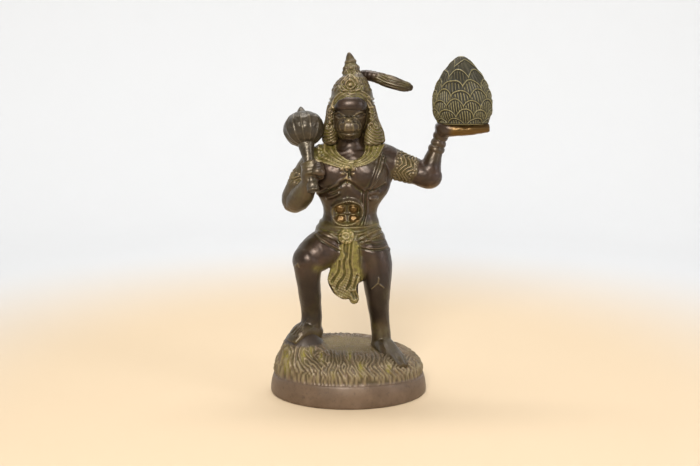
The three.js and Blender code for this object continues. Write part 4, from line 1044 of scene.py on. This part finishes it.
faceCarving = {
    "bands": [
        [(-13.4, 237.9), (-11.2, 243), (-6.7, 247.8), (-1.6, 250.1), (2.8, 249.6), (7.9, 250.3),
         (13, 248.1), (17.4, 243.8), (20.4, 237.9)],
        [(-12.3, 236.5), (-10.1, 240.9), (-6, 245.6), (-1.6, 248.1), (2.8, 247.2), (7.9, 248.1),
         (12.3, 245.9), (16.3, 241.6), (18.9, 236.5)],
        [(-11.4, 235), (-9.2, 239.1), (-5.4, 243.8), (-0.9, 246.2), (2.8, 245.5), (7.2, 246.2),
         (11.6, 244.3), (15.4, 240.2), (17.6, 235)],
    ],
    "backWires": (240.6, 243.8),
    "brooch": [
        [(-1, 249.7), (-4.2, 252.2), (-5.3, 255.1), (-4.2, 257.8), (-1.7, 260.4), (1.5, 262.9),
         (4.7, 260.4), (7.1, 257.8), (8.2, 255.1), (7.2, 252.2), (4.2, 249.7)],
        [(1.5, 259.6), (-0.9, 257.5), (-2.1, 255.2), (-1.1, 252.8), (1.5, 251.3), (4.2, 252.8),
         (5.2, 255.2), (3.9, 257.5), (1.5, 259.6)],
        [(-7.5, 253.6), (-5.5, 250.9), (-2.7, 249.3)], [(10.3, 253.6), (8.5, 250.9), (5.7, 249.3)],
    ],
    "broochBeads": [(1.5, 255.0, 1.7), (1.4, 258.2, 0.9), (1.4, 261.2, 1.0), (2.1, 268.3, 1.3)],
    "browEdge": [
        (-10.8, 234.3), (-7.5, 233.6), (-3.1, 232.4), (0.6, 231.2), (4.2, 232.4), (8.6, 233.9),
        (13.8, 234.6),
    ],
    "lids": [
        [(-10.8, 231.8), (-7.9, 232.5), (-4.9, 231.2), (-2.6, 228.6)],
        [(-10.5, 229.8), (-7.5, 227.9), (-2.9, 228.3)],
        [(4.4, 229.7), (8.1, 232.4), (11.4, 232.2), (14, 231)], [(4.6, 228.8), (8.4, 227.9), (13, 229.5)],
    ],
    "eyes": [(-7.1, 230.2), (8.8, 230.3)], "nose": [(0.6, 230.5), (0.4, 227.7)], "noseTip": (0.3, 226.0),
    "nostrils": [(-3.4, 225.2, 1.8), (3.9, 225.3, 1.9)], "muzzle": (0.5, 221.4, 9.8, 8.2),
    "cheeks": [
        [(-7.9, 219.2), (-9, 222.6), (-7.2, 226.3), (-3.7, 228.4), (-0.9, 227.6)],
        [(1.6, 227.8), (4.2, 228.4), (7.9, 226.3), (10.1, 222.6), (9.4, 219.2)],
    ],
    "whiskers": [
        [(-5.3, 219.4), (-5.7, 222.6), (-4.2, 223.6)], [(-1.9, 220), (-1.5, 223)], [(2.6, 223), (3.2, 220)],
        [(5.8, 223.4), (6.9, 222.4), (6.6, 219.4)],
    ],
    "mouth": [(-7.2, 217.6), (-3.1, 216.7), (0.6, 216.2), (5, 216.7), (9, 217.6)],
    "ears": [
        [(-12.6, 236.9), (-15, 235.7), (-16, 232.5), (-15.8, 228.1), (-14.7, 224.8)],
        [(-12.7, 233.7), (-13.6, 230.9), (-13.2, 227.7)],
        [(16.3, 237.3), (19, 236.5), (20.5, 233.3), (20.5, 228.9), (18.9, 225.7)],
        [(17.1, 233.7), (18.5, 231.3), (17.8, 227.7)],
    ],
    "earBeads": [(-15, 224.4, 1.5), (18.3, 224, 1.6)], "garlands": [(-16.0, 221.6), (22.2, 222.2)],
    "garlandStep": 2.3,
}


def faceHeight(f, x, z, drawn):
    # Bald domed forehead over a creased brow, lidded eyes, a round muzzle with a flat nose.
    aside = np.abs(x - 1.6)
    forehead = np.clip(1 - (aside / 13.5) ** 2.4 - ((z - 238.6) / 8.6) ** 2, 0, 1) ** 0.9
    height = forehead * (5.4 + 1.2 * np.minimum(aside / 7, 1) ** 2)
    height -= 0.5 * bell(nearLine(drawn, f["browEdge"], 36), 1.2)
    for eye in f["eyes"]:
        height += 0.9 * swell(oval(x, z, *eye, 3.2, 1.7))
    height += 0.85 * ridges(drawn, f["lids"], 14, 0.6)
    height += 3.4 * swell(oval(x, z, *f["muzzle"]), 1.1) + 0.5 * bell(nearLine(drawn, f["nose"]), 1.5)
    height += 1.6 * bell(oval(x, z, *f["noseTip"], 1.9, 1.5), 1)
    for cx, cz, size in f["nostrils"]:
        r = np.hypot(x - cx, (z - cz) * 1.15) / size
        height += 0.6 * bell(r - 0.95, 0.3) - 0.6 * bell(r, 0.5)
    height += 0.75 * ridges(drawn, f["cheeks"], 16, 0.65) + 0.5 * ridges(drawn, f["whiskers"], 8, 0.55)
    height += 0.4 * bell(nearLine(drawn, f["mouth"], 20, drop=1.7), 1.0)
    height -= 0.9 * bell(nearLine(drawn, f["mouth"], 20), 0.6)
    # Under the mouth the chin draws in, with short beard grooves
    return height + 0.2 * np.cos(tau * x / 1.8) * ramp(z, 214.8, 213) - 1.2 * ramp(z, 213.4, 210.5)


def hairHeight(f, x, z, at, front):
    # Behind, strands run down. In front, nested garlands hang under each ear.
    behind = np.arctan2(at[:, 0] - 3, at[:, 1] + 2)
    wave = behind * 19 + 1.4 * np.sin(z / 5.0) + 0.7 * np.sin(z / 2.3 + 4 * behind)
    height = (1 - front) * (0.8 * np.cos(tau * wave / 3.4) + 0.25 * np.cos(tau * wave / 1.7))
    for (cx, cz), side in zip(f["garlands"], (-1, 1)):
        here = ramp(side * (x - 2), 6, 9)
        dx, dz = x - cx, z - cz
        r = np.hypot(dx + 0.25 * side * np.minimum(dz, 0), np.minimum(dz, 0) * 0.92)
        rolls = np.abs(np.cos(math.pi * r / f["garlandStep"])) ** 0.7
        hang = ramp(z, cz + 4, cz + 0.5)
        short = np.cos(tau * (dz + 0.9 * np.sin(dx * 1.6)) / 2.6)
        height += front * here * (hang * (2.0 * rolls - 1.2) + (1 - hang) * 0.5 * short)
    return height


def crownHeight(f, x, z, at, front, drawn):
    # Three wires over the brow and two round the back, upright leaves above them, and the brooch.
    turn = np.arctan2(at[:, 1] - 0.5, at[:, 0] - 2.6)
    az = at[:, 2]
    height = 1.3 * ridges(drawn, f["bands"], 40, 0.72) * front
    for level in f["backWires"]:
        height += 1.2 * bell(az - level, 1.0) * (1 - front)
    ring = ramp(az, 249, 251) * ramp(az, 263, 260)
    leaves = np.cos(20 * turn + math.pi * np.floor(az / 3.2)) * np.abs(np.sin(math.pi * az / 3.2)) ** 0.5
    height += 0.4 * leaves * ring
    away = nearest(drawn, f["brooch"], 30)
    height += (1.2 * bell(away, 0.65) - 0.4 * bell(away - 1.3, 0.5)) * front
    for bx, bz, size in f["broochBeads"]:
        r = oval(x, z, bx, bz, size, size)
        height += front * 1.6 * swell(0.8 * r, 0.5) * ramp(1.25 - r, 0, 0.3)
    return height + 0.35 * np.cos(14 * turn) * ramp(az, 262.5, 264) * ramp(az, 273, 271)


def makeHead():
    h, f = headShape, faceCarving
    shells = [loft(h["skull"], 70, 96), loft(h["neck"], 20, 48), *(ball(*ear) for ear in h["ears"]),
              loft(h["lockLeft"], 40, 40), loft(h["lockRight"], 40, 40), loft(h["back"], 40, 96),
              loft(h["cap"], 90, 72, domed=0.5), ball(*h["jewel"], 32, 16)]
    obj = fused("head_hair_and_crown", shells, voxel=0.46, rounds=6)
    at, _, drawn, front = skinOf(obj)
    ax, ay, az = at.T
    x, z = drawn.T
    # The lowest wire parts the crown from the face, and the hair is what lies beside and behind both
    lowWire = np.array(f["bands"][2])
    brim = np.interp(x, lowWire[:, 0], lowWire[:, 1]) - 1.0
    onCrown = front * ramp(z - brim, -0.5, 0.8) + (1 - front) * ramp(az, 238.8, 239.6)
    halfFace = 13.6 - 3.0 * ramp(z, 226, 212)
    onFace = ramp(np.abs(x - 1.2), halfFace + 1.6, halfFace - 2.2) * ramp(ay, -6, -10)
    onFace *= (1 - onCrown) * ramp(z, 210, 212)
    side = np.maximum(np.abs(ax - 1.6) - halfFace + 0.4, ay - 1)
    onHair = (1 - onFace) * (1 - onCrown) * ramp(side, 0, 2)
    height = onFace * front * faceHeight(f, x, z, drawn)
    height += onHair * hairHeight(f, x, z, at, front)
    height += onCrown * crownHeight(f, x, z, at, front, drawn)
    height += 1.0 * ridges(drawn, f["ears"], 14, 0.8) * front
    for bx, bz, size in f["earBeads"]:
        height += 1.4 * ramp(size - oval(x, z, bx, bz), -0.3, 1.0) * front
    height += 0.1 * mottle(at, 8, 21)
    carve(obj, height)
    # Residue lies in hair and crown, and thinly over the eyes, cheeks and throat. Edges are rubbed bare,
    # which also paints a highlight on them, and creases get painted shade with dark patina.
    dip = hollows(obj)
    offFace, fromMiddle = 1 - onFace, np.abs(x - 1)
    finial = ramp(az, 262, 270)
    residue = onHair * (0.2 + 0.6 * ramp(z, 230, 218)) * ramp(dip, -0.35, 0.25)
    residue += onCrown * (0.12 + 0.45 * ramp(dip, -0.05, 0.35)) * (1 - 0.6 * finial)
    residue += 0.1 * onFace * ramp(z, 237, 229) + 0.25 * onFace * ramp(z, 220, 213) * ramp(fromMiddle, 3, 9)
    residue += (0.5 * ramp(dip, 0.12, 0.45) + 0.2 * ramp(mottle(at, 16, 23), 0, 1)) * offFace
    residue += 0.5 * offFace * (1 - onHair) * ramp(z, 222, 206) * ramp(fromMiddle, 7, 10) * front
    wearAndHighlight = 0.14 * onFace * ramp(z, 236, 233) + 0.55 * onCrown * (1 - 0.4 * finial) + 0.4 * onHair
    wearAndHighlight *= ramp(-dip, 0.1, 0.4)
    # A painted highlight on the nose tip
    wearAndHighlight += 0.35 * bell(oval(x, z, *f["noseTip"]), 1.4) * onFace
    # Pale lines painted along the lids, cheeks, whiskers and mouth: rubbed metal and painted highlight
    toFeatureLines = nearest(drawn, [*f["lids"], *f["cheeks"], *f["whiskers"], f["mouth"]], 14)
    wearAndHighlight += 0.15 * bell(toFeatureLines, 0.5) * onFace * front
    dress(obj, "figure", residue, wearAndHighlight, 0.9 * ramp(dip, 0.1, 0.45))


makeHead()
print("head made")


# Tail

tail = [
    [2, 10, 132, 4.6], [2.4, 20, 129, 4.4], [3, 26.6, 134, 4.1], [3.2, 28.4, 146, 3.9],
    [3.4, 26.6, 163, 3.8], [3.4, 24.6, 181, 3.7], [3.4, 23.8, 199, 3.6], [3.6, 24.4, 217, 3.5],
    [4, 24, 235, 3.4], [5, 20.6, 250, 3.2], [7.4, 14.6, 259.6, 3], [11.4, 9, 262.4, 4.0],
    [18, 6, 262, 4.8, 4.2], [26, 4, 259.8, 5.2, 4.2], [34, 2, 257.2, 5.6, 4.4],
    [42.5, 0.8, 254.6, 5.0, 3.8], [48.0, 0, 253.2, 3.8, 3], [50.2, 0, 252.6, 2.2, 2],
]


def makeTail():
    # Plain rope with faint rings up the back. Hairs run along the tuft.
    def relief(share, angle):
        tuft = ramp(share, 0.72, 0.79)
        hairs = np.cos(14 * angle + 9 * share + 1.2 * np.sin(40 * share))
        hairs = hairs + 0.5 * np.cos(23 * angle - 8 * share)
        return 0.45 * tuft * hairs + 0.1 * (1 - tuft) * np.cos(260 * share)
    obj = makeObject("tail", loft(tail, 360, 80, facing=(0, 0, 1), carried=True, relief=relief, domed=0.9))
    at = skinOf(obj)[0]
    dip = hollows(obj, 6)
    onTuft = ramp(at[:, 0], 16, 22)
    residue = 0.05 * onTuft + 0.3 * ramp(dip, 0.03, 0.2) + 0.2 * ramp(mottle(at, 16, 31), 0, 1)
    # Creases get painted shade with dark patina; the tuft's ridges get a little rubbed metal that also acts
    # as a painted highlight
    dress(obj, "figure", residue, 0.06 * onTuft * ramp(-dip, 0.02, 0.2), 0.95 * ramp(dip, 0.0, 0.12))


makeTail()
print("tail made")


# Mace

def makeMace(m):
    ballAt, down, length = maceAxis(m)
    side, deep = crossAxes(down)
    around, rows = 280, 90
    angle = -tau * np.arange(around)[None, :] / around
    up = np.linspace(-1, 1, rows + 1)[1:-1, None] * math.pi / 2
    # A near-round ball with thin raised seams from pole to pole: radius = cos(latitude) * (size + seam)
    phase = (m["seams"] * angle / tau) % 1 - 0.5
    seam = 0.4 * bell(phase * np.cos(up) * m["radius"] * tau / m["seams"], 0.65) * ramp(np.cos(up), 0.2, 0.4)
    radius = (m["radius"] * np.cos(up) + seam * np.cos(up))[..., None]
    points = ballAt + radius * (np.cos(angle)[..., None] * side + np.sin(angle)[..., None] * deep)
    points = points + ((m["halfLength"] + seam) * np.sin(up))[..., None] * down
    head = closedGrid(points[::-1], ballAt + down * m["halfLength"], ballAt - down * m["halfLength"])
    knob = turned(m["knob"], ballAt - down * (m["halfLength"] - 1), -down, around=40, steps=48)
    # Handle: a swelling neck under the ball, a plain grip, and a slightly wider end
    reach, neck, grip = m["halfLength"], m["neck"], m["handle"]
    profile = [[0, reach * 0.72], [neck - 1.4, reach * 0.74], [neck, reach * 0.84],
               [neck + 0.2, reach * 0.98], [neck - 0.3, reach * 1.15], [neck - 1.0, reach * 1.4],
               [grip + 0.5, reach * 1.75], [grip, reach * 2.1], [grip, length * 0.8],
               [grip, length * 0.86], [grip + 0.5, length * 0.9], [grip + 0.6, length * 0.96],
               [grip + 0.3, length], [0, length * 1.012]]
    handle = turned(profile, ballAt, down, around=56, steps=160)
    obj = makeObject("mace", joined([head, knob, handle]))
    at = skinOf(obj)[0]
    carve(obj, 0.18 * mottle(at, 7, 42) + 0.08 * mottle(at, 3, 43))
    dip = hollows(obj, 8)
    residue = 0.05 + 0.5 * ramp(dip, 0.04, 0.3)
    residue += 0.3 * ramp(mottle(at, 12, 41), 0, 1) * ramp(at[:, 0], -38, -26)
    # Creases get painted shade with dark patina; ridges get rubbed metal that also acts as a painted
    # highlight
    dress(obj, "mace", residue, 0.25 * ramp(-dip, 0.05, 0.25), 0.8 * ramp(dip, 0.05, 0.25))


makeMace(maceShape)
print("mace made")


# Mountain. Rows of peaks from the foot up: [share of the height, how many around, shift to one side in mm].
# The profile is [share of the half width, share of the height].

mountain = {
    "base": (92.2, -2.0, 224.0), "halfWidth": 23.8, "tallness": 2.27, "depth": 0.8, "tipShift": 2.2,
    "line": 0.95, "peakHeight": 8.4,
    "rows": [
        [0.1, 9, -6.3], [0.235, 10, -1.0], [0.375, 10, 5.9], [0.52, 10, -2.3], [0.66, 8, 4.5],
        [0.805, 6, -3.0], [0.945, 4, 1.8], [1.06, 3, 0],
    ],
    "profile": [
        [0.82, 0], [0.85, 0.04], [0.95, 0.13], [1, 0.27], [0.965, 0.41], [0.87, 0.55], [0.71, 0.69],
        [0.5, 0.82], [0.25, 0.94], [0.1, 0.99],
    ],
}


def makeMountain(m):
    around, rings = 410, 165
    outline = spline(m["profile"], rings)
    wide, share = np.clip(outline[:, :1], 0.02, None), np.maximum.accumulate(outline[:, 1:])
    angle = -tau * np.arange(around)[None, :] / around
    tall = m["halfWidth"] * m["tallness"]
    # Rows of round-topped peaks, each row in front of the one above: depthIn is the distance inside the
    # lowest peak that covers the point, with a thin rim where it is small and upright strokes within.
    peak = m["peakHeight"]
    cover = np.zeros_like(angle + share)
    relief = np.zeros_like(cover)
    for k, (top, count, shift) in enumerate(m["rows"]):
        broad = tau * m["halfWidth"] * 0.9 * max(np.interp(top, outline[:, 1], outline[:, 0]), 0.3) / count
        spread = count * (angle + math.pi / 2) / tau - shift / broad + 0.07 * np.sin(2 * angle + 1.9 * k)
        u = ((spread + 0.5) % 1 - 0.5) * broad
        v = (share - top - 0.012 * np.sin(5 * angle + 2.3 * k)) * tall
        depthIn = peak - np.hypot(u * peak / (0.56 * broad), v + peak)
        depthIn += 0.15 * np.sin(angle * 13 + share * 20)
        inside = ramp(depthIn, 0.0, 0.25) * (1 - cover)
        hatch = np.cos(tau * (u / 1.9 + 0.25 * np.sin(2.1 * k) + 0.06 * v)) * ramp(depthIn, 1.3, 2.0)
        rim = m["line"] * bell(depthIn - 0.55, 0.42) - 0.45 * bell(depthIn - 1.6, 0.5)
        relief += inside * (rim + 0.4 * hatch)
        cover = np.maximum(cover, inside)
    relief *= ramp(share, 0.0, 0.03) * ramp(wide, 0.08, 0.2)
    radius = m["halfWidth"] * wide + relief + 0.5 * bell(share - 0.02, 0.015)
    points = np.stack([radius * np.cos(angle) - m["tipShift"] * share, radius * np.sin(angle) * m["depth"],
                       tall * share + 0 * angle], axis=-1) + m["base"]
    top = points[-1].mean(axis=0) + [0, 0, 0.3]
    obj = makeObject("mountain", closedGrid(points, np.array(m["base"], float), top))
    dip = hollows(obj, 6)
    residue = 0.3 * ramp(mottle(skinOf(obj)[0], 14, 51), 0, 1) + 0.2 * ramp(dip, 0.0, 0.2)
    # Creases get painted shade with dark patina; ridges get rubbed metal that also acts as a painted
    # highlight
    dress(obj, "mountain", residue, 0.8 * ramp(-dip, 0.1, 0.28), 0.9 * ramp(dip, -0.04, 0.1))


makeMountain(mountain)
print("mountain made")


# Floor, backdrop and studio light, in metres

studio = {
    "floor": "#cbb698", "wall": "#c9cacb", "dimRoom": "#6e6b68", "floorTo": 0.42, "wallFrom": 0.75,
    "wallAt": 1.25, "wallTop": 2.6, "around": 96,
}
# Each light: name, place, aim, width, height, power, colour
lights = [
    ("window", (-0.12, -0.98, 0.66), (0, 0, 0.17), 0.46, 0.42, 14.5, "#fffaf2"),
    ("side", (0.9, -0.5, 0.5), (0, 0, 0.15), 0.3, 0.6, 3.0, "#f4f6ff"),
    ("top", (0.0, 0.1, 1.6), (0, 0, 0), 0.8, 0.8, 7.0, "#ffffff"),
    ("backdrop", (0.0, 0.35, 1.5), (0, 1.25, 0.35), 1.6, 0.5, 16.5, "#ffffff"),
]


def paperSweep(s):
    # Matt paper, warm near the middle and turning white further out, with grey painted on the camera side as
    # painted shade standing in for the dim room there.
    material, tree = emptyMaterial("matt_paper")
    place = addNode(tree, "TexCoord", {}, "Object")
    away = addNode(tree, "VectorMath", {"operation": "LENGTH", 0: place}, "Value")
    toCamera = addNode(tree, "SeparateXYZ", {"Vector": place}, "Y")
    colour = hexColour(s["floor"])
    for value, low, high, code in ((away, 0.6 * s["floorTo"], 1.6 * s["floorTo"], s["wall"]),
                                   (toCamera, -0.35, -0.9, s["dimRoom"])):
        share = addNode(tree, "MapRange", {"interpolation_type": "SMOOTHSTEP", "Value": value,
                                           "From Min": low, "From Max": high})
        colour = addNode(tree, "Mix", {"data_type": "RGBA", 0: share, 6: colour, 7: hexColour(code)}, 2)
    shader = addNode(tree, "BsdfPrincipled", {"Base Color": colour, "Roughness": 0.8})
    addNode(tree, "OutputMaterial", {"Surface": shader})
    return material


def makeStage(s):
    # A round floor that sweeps up into a white wall on every side: flat, a quarter round, then upright.
    around = s["around"]
    turn = np.linspace(0, math.pi / 2, 17)
    bend = s["wallAt"] - s["wallFrom"]
    out = np.concatenate([[0.02, 0.3], s["wallFrom"] + bend * np.sin(turn), [s["wallAt"]]])
    up = np.concatenate([[0.0, 0.0], bend * (1 - np.cos(turn)), [s["wallTop"]]])
    angle = tau * np.arange(around) / around
    points = np.stack([out[:, None] * np.cos(angle), out[:, None] * np.sin(angle),
                       up[:, None] + 0 * angle], axis=-1)
    i, j = np.meshgrid(np.arange(len(out) - 1) * around, np.arange(around), indexing="ij")
    n = (j + 1) % around
    quads = np.stack([i + j, i + around + j, i + around + n, i + n], axis=-1).reshape(-1, 4)
    floor = makeObject("floor", (points.reshape(-1, 3) / mm, quads, np.arange(around)[None]))
    floor.data.materials.append(paperSweep(s))


def softLight(name, place, aim, width, height, power, colour):
    data = bpy.data.lights.new(name, "AREA")
    data.shape = "ELLIPSE"
    data.size = width
    data.size_y = height
    data.energy = power
    data.color = hexColour(colour)[:3]
    obj = bpy.data.objects.new(name, data)
    obj.location = place
    x, y, z = np.array(aim) - np.array(place)
    flat = math.hypot(x, y)
    obj.rotation_euler = (math.atan2(flat, -z), 0, math.atan2(-x, y) if flat else 0)
    obj.visible_camera = False
    bpy.context.scene.collection.objects.link(obj)


makeStage(studio)
for light in lights:
    softLight(*light)
world = bpy.data.worlds.new("dimRoom")
bpy.context.scene.world = world
world.use_nodes = True
world.node_tree.nodes["Background"].inputs["Color"].default_value = hexColour("#f2f2f2")
world.node_tree.nodes["Background"].inputs["Strength"].default_value = 0.15
bpy.context.scene.view_settings.view_transform = "Standard"
print("stage and lights set")
